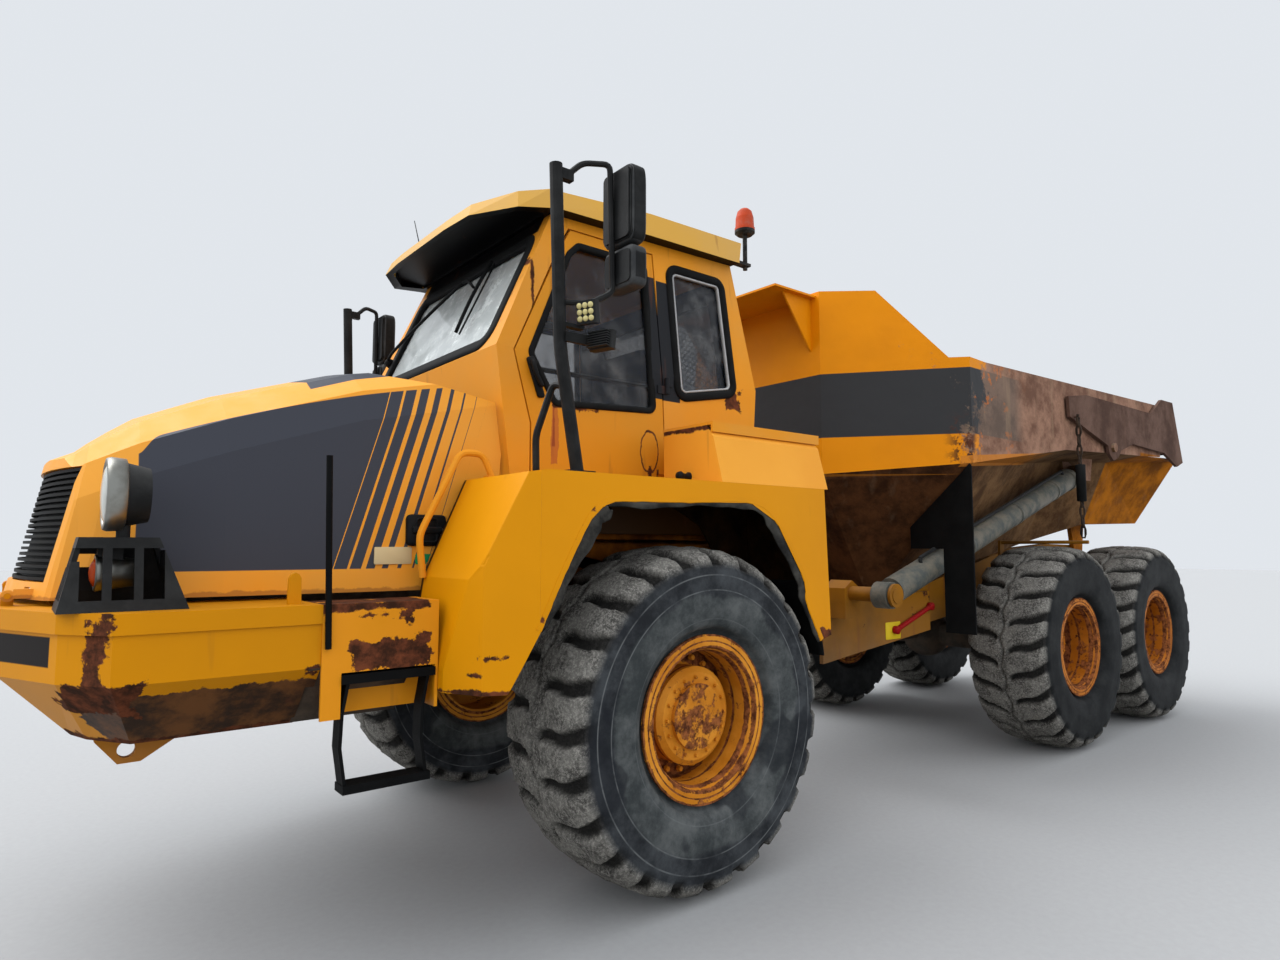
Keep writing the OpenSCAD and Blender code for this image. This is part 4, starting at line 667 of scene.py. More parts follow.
def bonnet_material():
    """Bonnet: amber with a grey side panel whose rear end fades in slanted bars of falling width.
    The panel's top line is z = 1.96 + 0.40 d - 0.10 d^2, where d counts back from its front edge."""
    mat, tree, shader, position, normal = new_material("bonnet_paint")
    split = put(tree, "ShaderNodeSeparateXYZ", {0: position})
    x, y, z = split.outputs[0], maths(tree, "ABSOLUTE", split.outputs[1]), split.outputs[2]
    tone = ramp(tree, noise(tree, position, 1.1, 5.0), 0.35, 0.68)
    base = blend_colour(tree, tone, srgb(232, 152, 38), srgb(226, 156, 60))
    side = ramp(tree, y, 0.600, 0.605)
    above = ramp(tree, z, 1.482, 1.486)
    back = minus(tree, AXLE_X + 2.178, x)
    bow = times(tree, times(tree, back, back), -0.10)
    top_line = plus(tree, plus(tree, times(tree, back, 0.40), 1.96), bow)
    # The upper front corner is cut round
    corner = times(tree, maths(tree, "POWER", ramp(tree, back, 0.0, 0.10, 1.0, 0.0), 3.0), 0.05)
    below = ramp(tree, minus(tree, z, minus(tree, top_line, corner)), -0.002, 0.002, 1.0, 0.0)
    nose = ramp(tree, back, -0.002, 0.002)
    slant = plus(tree, x, times(tree, z, 0.30))
    fade_start = AXLE_X + 1.50 + 0.30 * 1.85
    fade = ramp(tree, slant, fade_start - 0.56, fade_start, 0.0, 1.0)
    bars = maths(tree, "FRACT", times(tree, slant, 18.0))
    solid = maths(tree, "LESS_THAN", bars, times(tree, fade, 1.02))
    panel = times(tree, times(tree, side, above),
                  times(tree, below, times(tree, nose, solid)))
    base = blend_colour(tree, panel, base, DECAL_GREY)
    # Grey field on the cowl ahead of the windscreen
    cowl = zone(tree, position, (1.18, 0.0, 2.45), (0.40, 0.60, 0.25), 0.0005, scale=20.0)
    base = blend_colour(tree, times(tree, cowl, ramp(tree, coordinate(tree, normal, 2), 0.7, 0.72)), base,
                        DECAL_GREY)
    specks = use_group(tree, SPOTS, Position=position, Scale=12.0, Amount=0.26)
    base = blend_colour(tree, times(tree, specks, times(tree, panel, 0.8)), base, srgb(190, 188, 180))
    chips = use_group(tree, SPOTS, Position=position, Scale=2.6, Amount=0.08)
    base = blend_colour(tree, chips, base, RUST_RED)
    edge = zone(tree, position, (1.6, 0.0, 1.36), (1.2, 1.0, 0.045), 0.012, 0.006)
    base = blend_colour(tree, times(tree, edge, 0.5), base, RUST_RED)
    finish_surface(tree, shader, base, ramp(tree, noise(tree, position, 8.0, 6.0), 0.3, 0.7, 0.34, 0.5),
                   noise(tree, position, 150.0, 3.0), 0.08, 0.001)
    return mat


MAT["bonnet"] = bonnet_material()


def tyre_material():
    """Tyre rubber: dark blue-grey walls, pale dusty worn tread, by the distance from the wheel's middle."""
    mat, tree, shader, position, normal = new_material("tyre_rubber")
    worn = put(tree, "ShaderNodeAttribute", attribute_name="tread").outputs["Fac"]
    patches = noise(tree, position, 5.0, 9.0, 0.72)
    wall_tone = ramp(tree, patches, 0.35, 0.7)
    reach, _, behind = wheel_reach(tree, position)
    inner = blend_colour(tree, wall_tone, srgb(50, 55, 57), srgb(92, 96, 97))
    wall = blend_colour(tree, wall_tone, srgb(32, 35, 39), srgb(66, 70, 74))
    # The boundary wanders a little, and a few dark smears cross the inner wall
    edge = plus(tree, reach, ramp(tree, noise(tree, position, 3.0, 4.0), 0.3, 0.7, -0.03, 0.03))
    wall = blend_colour(tree, ramp(tree, edge, 0.555, 0.585, 1.0, 0.0), wall, inner)
    smears = ramp(tree, noise(tree, position, 2.6, 3.0, 0.5), 0.58, 0.62)
    wall = blend_colour(tree, times(tree, smears, 0.6), wall, srgb(28, 31, 37))
    lines = larger(tree, band(tree, reach, 0.587, 0.0012, 0.003), band(tree, reach, 0.656, 0.0014, 0.003))
    lines = larger(tree, lines, times(tree, band(tree, reach, 0.455, 0.001, 0.003), 0.5))
    lines = times(tree, lines, ramp(tree, noise(tree, position, 8.0, 4.0), 0.35, 0.6, 0.1, 0.6))
    wall = blend_colour(tree, lines, wall, srgb(112, 116, 118))
    wall = blend_colour(tree, behind, wall,
                        blend_colour(tree, wall_tone, srgb(24, 26, 28), srgb(44, 46, 47)))
    # Pale scratches and chipped rubber on the block tops
    chipped = ramp(tree, noise(tree, position, 80.0, 9.0, 0.85), 0.45, 0.62)
    tread = blend_colour(tree, ramp(tree, noise(tree, position, 11.0, 5.0, 0.6), 0.38, 0.60),
                         srgb(70, 69, 67), srgb(112, 111, 107))
    tread = blend_colour(tree, times(tree, chipped, 0.7), tread, srgb(176, 174, 168))
    base = blend_colour(tree, worn, wall, tread)
    groove = put(tree, "ShaderNodeAttribute", attribute_name="groove").outputs["Fac"]
    base = blend_colour(tree, times(tree, groove, 0.93), base, srgb(22, 22, 22))
    grain = plus(tree, noise(tree, position, 75.0, 8.0, 0.8),
                 times(tree, noise(tree, position, 16.0, 5.0), 0.7))
    bump_level = times(tree, grain, ramp(tree, worn, 0.0, 1.0, 0.12, 1.0))
    finish_surface(tree, shader, base, ramp(tree, worn, 0.0, 1.0, 0.62, 0.9), bump_level, 0.8, 0.008)
    return mat


MAT["tyre"] = tyre_material()

NODE_MAT = {
    "yellow": ["hitch"],
    "box": ["storage_boxes"],
    "frame": ["front_frame"],
    "rear_frame": ["rear_frame"],
    "fender": ["fenders"],
    "bumper": ["bumper"],
    "panel": ["side_panels"],
    "cab": ["cab_shell"],
    "amber": ["box_lid_left", "box_lid_right", "grab_rails"],
    "door": ["door"],
    "roof": ["cab_roof"],
    "bonnet": ["bonnet"],
    "grille": ["grille"],
    "black": ["mirror_masts", "front_lamps", "cab_interior"],
    "beacon": ["beacon"],
    "flap": ["mudflaps", "steps"],
    "engine": ["engine"],
    "rust": ["front_axle", "bogie"],
    "body": ["dump_body"],
    "gate": ["tailgate"],
    "chain": ["tailgate_chains"],
    "grey": ["tip_barrels", "steer_barrel_left", "steer_barrel_right"],
    "chrome": ["tip_rods", "steer_rod_left", "steer_rod_right"],
    "glass": ["cab_glass", "door_glass"],
    "rim": ["rim_front_left", "rim_front_right"],
    "rear_rim": ["rim_middle_left", "rim_middle_right", "rim_rear_left", "rim_rear_right"],
}
for key, names in NODE_MAT.items():
    for node_name in names:
        data = NODES[node_name].data
        data.materials.clear()
        data.materials.append(MAT[key])


# Meshes from arrays; corners nearer than this are one
MERGE = 1e-6


def add_piece(name, verts, faces, body, slot, mat, smooth=True, merge=MERGE):
    """A mesh object from arrays of corners and faces, riding on a body."""
    mesh = bpy.data.meshes.new(name)
    mesh.from_pydata(verts.reshape(-1, 3).tolist(), [],
                     faces.tolist() if hasattr(faces, "tolist") else faces)
    if merge:
        bm = bmesh.new()
        bm.from_mesh(mesh)
        bmesh.ops.remove_doubles(bm, verts=bm.verts, dist=merge)
        bmesh.ops.recalc_face_normals(bm, faces=bm.faces)
        bm.to_mesh(mesh)
        bm.free()
    mesh.polygons.foreach_set("use_smooth", [smooth] * len(mesh.polygons))
    mesh.update()
    piece = bpy.data.objects.new(name, mesh)
    bpy.context.scene.collection.objects.link(piece)
    mesh.materials.append(mat)
    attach(piece, body)
    return piece


def grid_faces(rows, cols, wrap_rows=False, wrap_cols=False):
    """Quads of a grid of points with rows by cols corners, closed round either way on request."""
    i = np.arange(rows if wrap_rows else rows - 1)
    j = np.arange(cols if wrap_cols else cols - 1)
    a, b = np.meshgrid(i, j, indexing="ij")
    a, b = a.ravel(), b.ravel()
    a2, b2 = (a + 1) % rows, (b + 1) % cols
    return np.stack([a * cols + b, a2 * cols + b, a2 * cols + b2, a * cols + b2], 1)


def bar_faces(rows, cols):
    """Quads between rings of cols corners, with a face over the first ring and over the last."""
    last = (rows - 1) * cols
    ends = [list(range(cols)), [last + k for k in range(cols - 1, -1, -1)]]
    return grid_faces(rows, cols, wrap_cols=True).tolist() + ends


def thick_sheet(front, back):
    """A sheet between two grids of points with the same rows and columns, closed round its edge."""
    rows, cols = front.shape[:2]
    faces = grid_faces(rows, cols)
    edge = np.concatenate([np.arange(cols), np.arange(1, rows) * cols + cols - 1,
                           (rows - 1) * cols + np.arange(cols - 2, -1, -1),
                           np.arange(rows - 2, 0, -1) * cols])
    after = np.roll(edge, -1)
    around = np.stack([edge, edge + rows * cols, after + rows * cols, after], 1)
    return np.stack([front, back]), np.concatenate([faces, faces[:, ::-1] + rows * cols, around])


def join(parts):
    """Several (corners, faces) pairs as one."""
    verts, faces, start = [], [], 0
    for v, f in parts:
        v = v.reshape(-1, 3)
        verts.append(v)
        faces += [[int(q) + start for q in face] for face in f]
        start += len(v)
    return np.concatenate(verts), faces


def smooth_path(points, steps=6):
    """A Catmull-Rom curve through points: cubic pieces with slopes from the neighbours."""
    p = np.asarray(points, float)
    ends = np.vstack([2 * p[0] - p[1], p, 2 * p[-1] - p[-2]])
    t = np.linspace(0, 1, steps, endpoint=False)[:, None]
    out = [0.5 * (2 * b + (c - a) * t + (2 * a - 5 * b + 4 * c - d) * t ** 2
                  + (3 * b - a - 3 * c + d) * t ** 3)
           for a, b, c, d in zip(ends, ends[1:], ends[2:], ends[3:])]
    return np.vstack(out + [p[-1:]])


def tube(points, radius, sides=12):
    """A round bar along a path: circles square to the path's slope, with closed ends."""
    p = np.asarray(points, float)
    along = np.gradient(p, axis=0)
    along /= np.linalg.norm(along, axis=1)[:, None]
    helper = np.array([0.0, 0.0, 1.0]) if abs(along[0, 2]) < 0.9 else np.array([1.0, 0.0, 0.0])
    first = np.cross(along, helper)
    first /= np.linalg.norm(first, axis=1)[:, None]
    second = np.cross(along, first)
    angle = np.linspace(0, 2 * math.pi, sides, endpoint=False)
    r = np.broadcast_to(np.asarray(radius, float), (len(p),))[:, None, None]
    circle = np.cos(angle)[:, None] * first[:, None] + np.sin(angle)[:, None] * second[:, None]
    ring = p[:, None] + r * circle
    return ring, bar_faces(len(p), sides)


def lathe(profile, centre, axis, sides=48):
    """A profile of (distance along the axis, radius) turned about the axis through a centre."""
    profile = np.asarray(profile, float)
    axis = np.asarray(axis, float) / np.linalg.norm(axis)
    helper = np.array([0.0, 0.0, 1.0]) if abs(axis[2]) < 0.9 else np.array([1.0, 0.0, 0.0])
    first = np.cross(axis, helper)
    first /= np.linalg.norm(first)
    second = np.cross(axis, first)
    angle = np.linspace(0, 2 * math.pi, sides, endpoint=False)
    turn = np.cos(angle)[:, None] * first + np.sin(angle)[:, None] * second
    ring = np.asarray(centre) + profile[:, 0, None, None] * axis + profile[:, 1, None, None] * turn[None]
    return ring, grid_faces(len(profile), sides, wrap_cols=True)


def pillow(centre, half, power=0.35, rows=20, cols=32):
    """A rounded box: a sphere's angles with sines and cosines raised to a low power."""
    v = np.linspace(-math.pi / 2, math.pi / 2, rows)[:, None]
    u = np.linspace(0, 2 * math.pi, cols, endpoint=False)[None]

    def soft(value):
        return np.sign(value) * np.abs(value) ** power

    shape = np.stack([soft(np.cos(v)) * soft(np.cos(u)), soft(np.cos(v)) * soft(np.sin(u)),
                      soft(np.sin(v)) + 0 * u], 2)
    return np.asarray(centre) + shape * np.asarray(half), grid_faces(rows, cols, wrap_cols=True)


# Tyres: a cross-section carried round the axle, with the grooves pressed into the tread
# A groove's half width in the middle and at the shoulder, its rounding, its depth and its cut inwards
GROOVE_MIDDLE = 0.013
GROOVE_SHOULDER = 0.034
GROOVE_ROUNDING = 0.014
GROOVE_DEPTH = 0.034
SHOULDER_CUT = 0.026


def tyre_section():
    """Half cross-section as (radius, distance from the middle), smoothed."""
    points = np.array([[0.318, 0.215], [0.352, 0.222], [0.381, 0.223], [0.400, 0.236], [0.421, 0.272],
                       [0.470, 0.291], [0.540, 0.300], [0.600, 0.300], [0.650, 0.299], [0.700, 0.296],
                       [0.725, 0.288], [0.745, 0.272], [0.764, 0.243], [0.776, 0.210], [0.783, 0.160],
                       [0.788, 0.105], [0.790, 0.050], [0.790, 0.0]])
    return smooth_path(points, 4)


def make_tyre(place_name, side_name, skew):
    """Tyre surface: radius and width from the section, lowered by the groove depth at each angle."""
    side = SIDES[side_name]
    half = tyre_section()
    section = np.vstack([half, (half * [1, -1])[-2::-1]])
    turns = LUGS * 16
    angle = np.linspace(0, 2 * math.pi, turns, endpoint=False)[None, :]
    radius, across = section[:, 0, None], section[:, 1, None]
    pitch = 2 * math.pi / LUGS
    level = np.clip((np.abs(across) - 0.04) / 0.30, 0, 1)
    # Grooves leave the middle line and lean away from it, the two shoulders half a pitch apart
    offset = (skew * level + 0.010 * np.sin(level * 9.0)) / TYRE_R
    centre_angle = np.where(across > 0, 0.0, pitch / 2) - offset
    along = ((angle - centre_angle + pitch / 2) % pitch - pitch / 2) * TYRE_R
    width = GROOVE_MIDDLE + (GROOVE_SHOULDER - GROOVE_MIDDLE) * level
    cut = np.clip((width + GROOVE_ROUNDING - np.abs(along)) / GROOVE_ROUNDING, 0, 1)
    cut = cut * cut * (3 - 2 * cut)
    on_tread = np.clip((radius - 0.675) / 0.035, 0, 1)
    reach = np.clip((np.abs(across) - 0.030) / 0.02, 0, 1)
    # A narrow zigzag runs round between the two rows of blocks
    zigzag = 0.030 * (2 * np.abs(((angle / pitch) % 1) - 0.5) - 0.5)
    middle = np.clip(1 - np.abs(across - zigzag) / 0.012, 0, 1)
    groove = np.maximum(cut * reach, middle * 0.6) * on_tread
    crown = np.clip((radius - 0.70) / 0.06, 0, 1)
    depth = GROOVE_DEPTH * groove * crown
    inwards = SHOULDER_CUT * groove * (1 - crown)
    random = np.random.default_rng(7)
    lumps = random.normal(0, 1, (len(section), turns))
    for _ in range(3):
        lumps = (lumps + np.roll(lumps, 1, 1) + np.roll(lumps, -1, 1)
                 + np.roll(lumps, 1, 0) + np.roll(lumps, -1, 0)) / 5
    worn = 0.004 * lumps * crown * 1.6 - 0.003 * crown
    rings = 0.0035 * (np.exp(-((radius - 0.455) / 0.006) ** 2) + np.exp(-((radius - 0.585) / 0.007) ** 2)
                      + np.exp(-((radius - 0.655) / 0.009) ** 2))
    r = np.minimum(radius - depth + worn, TYRE_R)
    y = np.sign(across) * np.minimum(np.abs(across) - inwards + rings * 0.4, TYRE_W / 2)
    x0 = AXLE_X + WHEEL_X[place_name]
    points = np.stack([x0 + r * np.sin(angle), side * (TRACK + y * np.ones_like(angle)),
                       TYRE_R + r * np.cos(angle)], 2)
    faces = grid_faces(len(section), turns, wrap_cols=True)
    if side < 0:
        faces = faces[:, ::-1]
    body = f"wheel_{place_name}_{side_name}"
    piece = add_piece(f"tyre_tread_{place_name}_{side_name}", points, faces, body, "tyre_rubber",
                      MAT["tyre"], merge=0.0)
    for label, values in (("tread", np.clip((radius - 0.69) / 0.04, 0, 1) * np.ones_like(angle)),
                          ("groove", np.clip(groove, 0, 1))):
        layer = piece.data.attributes.new(label, "FLOAT", "POINT")
        layer.data.foreach_set("value", values.ravel().astype(np.float32))
    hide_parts(f"tyre_{place_name}_{side_name}")


for place_name in WHEEL_X:
    for side_name in SIDES:
        make_tyre(place_name, side_name, 0.034 if place_name == "front" else 0.110)


# Wheel nuts: rings of six-sided nuts on round washers
# Each ring has its radius, its distance out from the wheel's middle, and its nuts' count, size and height
FRONT_NUTS = [(0.262, 0.048, 20, 0.014, 0.022), (0.178, 0.171, 16, 0.008, 0.012)]
REAR_NUTS = [(0.205, -0.039, 20, 0.014, 0.024), (0.110, 0.079, 12, 0.007, 0.010)]


def nut(centre, axis, size, height):
    """A six-sided nut with a bevelled top, turned about its axis."""
    return lathe([(0, 0), (0, size * 1.25), (height * 0.25, size * 1.25), (height * 0.25, size),
                  (height * 0.8, size), (height, size * 0.8), (height, 0)], centre, axis, 6)


for place_name, wheel_x in WHEEL_X.items():
    for side_name, side in SIDES.items():
        rings = FRONT_NUTS if place_name == "front" else REAR_NUTS
        parts = []
        for ring_r, depth_y, count, size, height in rings:
            for k in range(count):
                turn = 2 * math.pi * k / count
                centre = place(wheel_x + ring_r * math.cos(turn), side * (TRACK + depth_y),
                               TYRE_R + ring_r * math.sin(turn))
                parts.append(nut(centre, (0, side, 0), size, height))
        add_piece(f"wheel_nuts_{place_name}_{side_name}", *join(parts), f"wheel_{place_name}_{side_name}",
                  "amber_paint", MAT["rim"], smooth=False, merge=0.00001)

# Points on the cab's leaning walls

def side_wall(side):
    """Maps (x, z, proud) to the cab's side wall, which is upright to the sill and then leans in."""
    def put_there(a, b, proud):
        half = CAB_HALF - WALL_LEAN * np.clip(b - SILL_Z, 0, None)
        return np.stack([a + AXLE_X, side * (half + proud), b], -1)
    return put_there


def windscreen(a, b, proud):
    """Maps (y, z, proud) to the front wall, which leans back above the sill."""
    across = math.hypot(1, FRONT_LEAN)
    return np.stack([AXLE_X + CAB_FRONT - FRONT_LEAN * (b - SILL_Z) + proud / across, a,
                     b + proud * FRONT_LEAN / across], -1)


def rear_wall(a, b, proud):
    """Maps (y, z, proud) to the rear wall, which leans in above and below the sill."""
    lean = np.where(b > SILL_Z, REAR_LEAN * (b - SILL_Z), REAR_LEAN_LOW * (SILL_Z - b))
    return np.stack([AXLE_X - CAB_REAR + lean - proud, a, b], -1)


def flat_wall(axis, level, side=1):
    """Maps two coordinates and a distance to an upright plane across x or y."""
    def put_there(a, b, proud):
        away = level + proud * side + 0 * a
        return np.stack([away + AXLE_X, a, b], -1) if axis == "x" else np.stack([a + AXLE_X, away, b], -1)
    return put_there


def rounded(points, radius, steps=7):
    """A closed outline with each corner replaced by an arc that touches both its sides."""
    p = np.asarray(points, float)
    out = []
    for before, here, after in zip(np.roll(p, 1, 0), p, np.roll(p, -1, 0)):
        a, b = before - here, after - here
        size_a, size_b = np.linalg.norm(a), np.linalg.norm(b)
        a, b = a / size_a, b / size_b
        half = math.acos(float(np.clip(a @ b, -1, 1))) / 2
        reach = min(radius / math.tan(half), 0.45 * size_a, 0.45 * size_b)
        middle = here + (a + b) / np.linalg.norm(a + b) * reach / math.cos(half)
        start, end = here + a * reach - middle, here + b * reach - middle
        turn = math.atan2(start[0] * end[1] - start[1] * end[0], start @ end) * np.linspace(0, 1, steps)
        square = np.array([-start[1], start[0]])
        out.append(middle + np.cos(turn)[:, None] * start + np.sin(turn)[:, None] * square)
    return np.vstack(out)


def outward(outline, closed=True):
    """Unit directions square to an outline, away from its inside."""
    p = np.asarray(outline, float)
    slope = np.roll(p, -1, 0) - np.roll(p, 1, 0) if closed else np.gradient(p, axis=0)
    out = np.stack([slope[:, 1], -slope[:, 0]], 1) / np.linalg.norm(slope, axis=1)[:, None]
    area = np.sum(p[:, 0] * np.roll(p[:, 1], -1) - np.roll(p[:, 0], -1) * p[:, 1])
    return out if area > 0 or not closed else -out


def wall_ring(outline, profile, wall):
    """A closed profile of (outwards, proud) carried round a closed outline on a wall."""
    p, q = np.asarray(outline, float), np.asarray(profile, float)
    flat = p[:, None] + outward(p)[:, None] * q[None, :, :1]
    proud = np.broadcast_to(q[None, :, 1], flat.shape[:2])
    return wall(flat[..., 0], flat[..., 1], proud), grid_faces(len(p), len(q), True, True).tolist()


def wall_plate(outline, steps, wall):
    """A plate on a wall: its outline at each (outwards, proud) step, closed by a face at both ends."""
    p = np.asarray(outline, float)
    out = outward(p)
    rings = np.stack([wall(*(p + out * grow).T, np.full(len(p), proud)) for grow, proud in steps])
    return rings, bar_faces(len(steps), len(p))


def rectangle(low, high, radius):
    """A rounded rectangle between two corners."""
    return rounded([low, (high[0], low[1]), high, (low[0], high[1])], radius)


# Window seals, the bright ring of the rear side windows, and the rail in the door window
DOOR_WINDOW = [(-0.124, 2.300), (0.500, 2.270), (0.640, 2.500), (0.400, 3.050), (0.340, 3.110),
               (-0.095, 3.110)]
REAR_WINDOW = [(-0.300, 2.390), (-0.740, 2.470), (-0.690, 3.110), (-0.660, 3.140), (-0.270, 3.140)]
SEAL = [(0.017, -0.003), (0.017, 0.004), (0.008, 0.008), (-0.008, 0.008), (-0.016, 0.002), (-0.019, -0.019),
        (0.0, -0.019)]
FAT_SEAL = [(0.024, -0.003), (0.024, 0.006), (0.012, 0.012), (-0.012, 0.011), (-0.024, 0.002),
            (-0.027, -0.019), (0.0, -0.019)]
BRIGHT = [(-0.026, -0.016), (-0.026, 0.001), (-0.031, 0.004), (-0.037, 0.001), (-0.038, -0.016)]
for side_name, side in SIDES.items():
    wall = side_wall(side)
    carrier = "door" if side > 0 else "front_unit"
    add_piece(f"door_window_seal_{side_name}", *wall_ring(rounded(DOOR_WINDOW, 0.035), SEAL, wall), carrier,
              "black_parts", MAT["seal"])
    outline = rounded(REAR_WINDOW, 0.06)
    add_piece(f"rear_window_seal_{side_name}", *wall_ring(outline, FAT_SEAL, wall), "front_unit",
              "black_parts", MAT["seal"])
    add_piece(f"rear_window_trim_{side_name}", *wall_ring(outline, BRIGHT, wall), "front_unit", "grey_steel",
              MAT["trim"])
    rail = wall(np.linspace(-0.13, 0.60, 12), np.full(12, 2.432), np.full(12, -0.032))
    add_piece(f"window_rail_{side_name}", *tube(rail, 0.013), carrier, "black_parts", MAT["black"])
wide = rectangle((-0.66, 2.560), (0.66, 3.120), 0.07)
add_piece("windscreen_seal",
          *wall_ring(wide, [(0.045, -0.003), (0.045, 0.004), (0.02, 0.009), (-0.012, 0.008), (-0.020, 0.001),
                            (-0.022, -0.019), (0.0, -0.019)], windscreen), "front_unit", "black_parts",
          MAT["seal"])
back = rectangle((-0.56, 2.350), (0.56, 3.070), 0.06)
add_piece("rear_pane_seal", *wall_ring(back, FAT_SEAL, rear_wall), "front_unit", "black_parts", MAT["seal"])


# Guard mesh behind the rear window: two families of slanted bars in a frame

def mesh_bars(low, high, step_a, step_b, wall, proud, width):
    """Flat bars along both diagonals of a diamond of step_a by step_b, each clipped to a rectangle."""
    parts = []
    slope = step_b / step_a
    for sign in (1, -1):
        reach = slope * (high[0] - low[0])
        starts = np.arange(low[1] - (reach if sign > 0 else 0), high[1] + (0 if sign > 0 else reach), step_b)
        for c in starts:
            # The line is b = c + sign * slope * (a - low a)
            ends = np.sort([low[0] + sign * (low[1] - c) / slope, low[0] + sign * (high[1] - c) / slope])
            a0, a1 = max(ends[0], low[0]), min(ends[1], high[0])
            if a1 - a0 < 0.02:
                continue
            a = np.array([a0, a1])
            b = c + sign * slope * (a - low[0])
            grow = width / 2 * math.hypot(1, slope)
            corner = [wall(a, b + g, np.full(2, proud + h)) for g,
                      h in ((-grow, 0), (grow, 0), (grow, 0.004), (-grow, 0.004))]
            faces = grid_faces(4, 2, True, False).tolist() + [[0, 2, 4, 6], [7, 5, 3, 1]]
            parts.append((np.stack(corner), faces))
    return join(parts)


add_piece("rear_guard_mesh", *mesh_bars((-0.60, 2.30), (0.60, 3.10), 0.066, 0.037, rear_wall, 0.024, 0.0045),
          "front_unit", "black_parts", MAT["black"], smooth=False)
guard = rectangle((-0.60, 2.30), (0.60, 3.10), 0.05)
add_piece("rear_guard_frame",
          *wall_ring(guard, [(0.012, 0.010), (0.012, 0.034), (-0.012, 0.034), (-0.012, 0.010)], rear_wall),
          "front_unit", "black_parts", MAT["black"], smooth=False)

# Wiper: a pivot on the far pillar, an arm, a short link and the blade
arm = windscreen(np.array([-0.70, -0.60, -0.28, 0.07]), np.array([2.70, 2.735, 2.872, 3.015]),
                 np.array([0.03, 0.05, 0.055, 0.05]))
link = windscreen(np.array([0.07, 0.15, 0.27]), np.array([3.015, 3.00, 2.93]),
                  np.array([0.05, 0.052, 0.045]))
blade_b = np.linspace(2.678, 3.09, 14)
blade_a = 0.267 + 0.034 * (blade_b - 2.678) / 0.412
blade = windscreen(blade_a, blade_b, 0.026 + 0.010 * np.sin(np.linspace(0, math.pi, 14)))
rubber_lip = windscreen(blade_a, blade_b, np.full(14, 0.006))
base_ring = lathe([(0, 0), (0, 0.030), (0.030, 0.026), (0.040, 0.016), (0.044, 0)],
                  windscreen(np.array(-0.70), np.array(2.70), np.array(0.0)), (1, 0, FRONT_LEAN), 20)
add_piece("wiper",
          *join([tube(smooth_path(arm, 5), 0.009, 8), tube(smooth_path(link, 5), 0.008, 8),
                 tube(blade, 0.010, 8), tube(rubber_lip, 0.005, 6), base_ring]), "front_unit", "black_parts",
          MAT["seal"])

# Door handle: a block at the window's lower front corner with a bent lever
for side_name, side in SIDES.items():
    wall = side_wall(side)
    carrier = "door" if side > 0 else "front_unit"
    plate = rounded([(0.560, 2.285), (0.600, 2.285), (0.668, 2.470), (0.628, 2.485)], 0.015)
    lever = wall(np.array([0.640, 0.644, 0.632, 0.590]), np.array([2.455, 2.438, 2.395, 2.335]),
                 np.array([0.01, 0.034, 0.038, 0.030]))
    knob = lathe([(0, 0), (0, 0.020), (0.012, 0.019), (0.018, 0.012), (0.020, 0)],
                 wall(np.array(0.636), np.array(2.447), np.array(0.010)), (0, side, 0), 20)
    add_piece(f"door_handle_{side_name}",
              *join([wall_plate(plate, [(0, -0.004), (0, 0.010), (-0.004, 0.014)], wall),
                     tube(smooth_path(lever, 6), 0.011, 10), knob]), carrier, "black_parts", MAT["latch"])

# Bonnet latch on each side: a plate, a sunk grip with a bar across it and a round lock
for side_name, side in SIDES.items():
    wall = flat_wall("y", side * 0.755, side)
    outline = rectangle((1.040, 1.577), (1.218, 1.712), 0.022)
    grip = rectangle((1.085, 1.595), (1.175, 1.694), 0.012)
    bar = rectangle((1.062, 1.630), (1.196, 1.660), 0.008)
    lock = lathe([(0, 0), (0, 0.014), (0.006, 0.013), (0.008, 0)],
                 wall(np.array(1.064), np.array(1.640), np.array(0.020)), (0, side, 0), 20)
    latch = [wall_plate(outline, [(0, -0.010), (0, 0.016), (-0.005, 0.021)], wall),
             wall_ring(grip, [(0.005, 0.018), (0.004, 0.027), (-0.003, 0.027), (-0.004, 0.018)], wall),
             wall_plate(bar, [(0, 0.018), (0, 0.026), (-0.004, 0.031)], wall)]
    add_piece(f"bonnet_latch_{side_name}", *join(latch), "bonnet", "black_parts", MAT["latch"])
    add_piece(f"bonnet_lock_{side_name}", *lock, "bonnet", "grey_steel", MAT["bezel"])

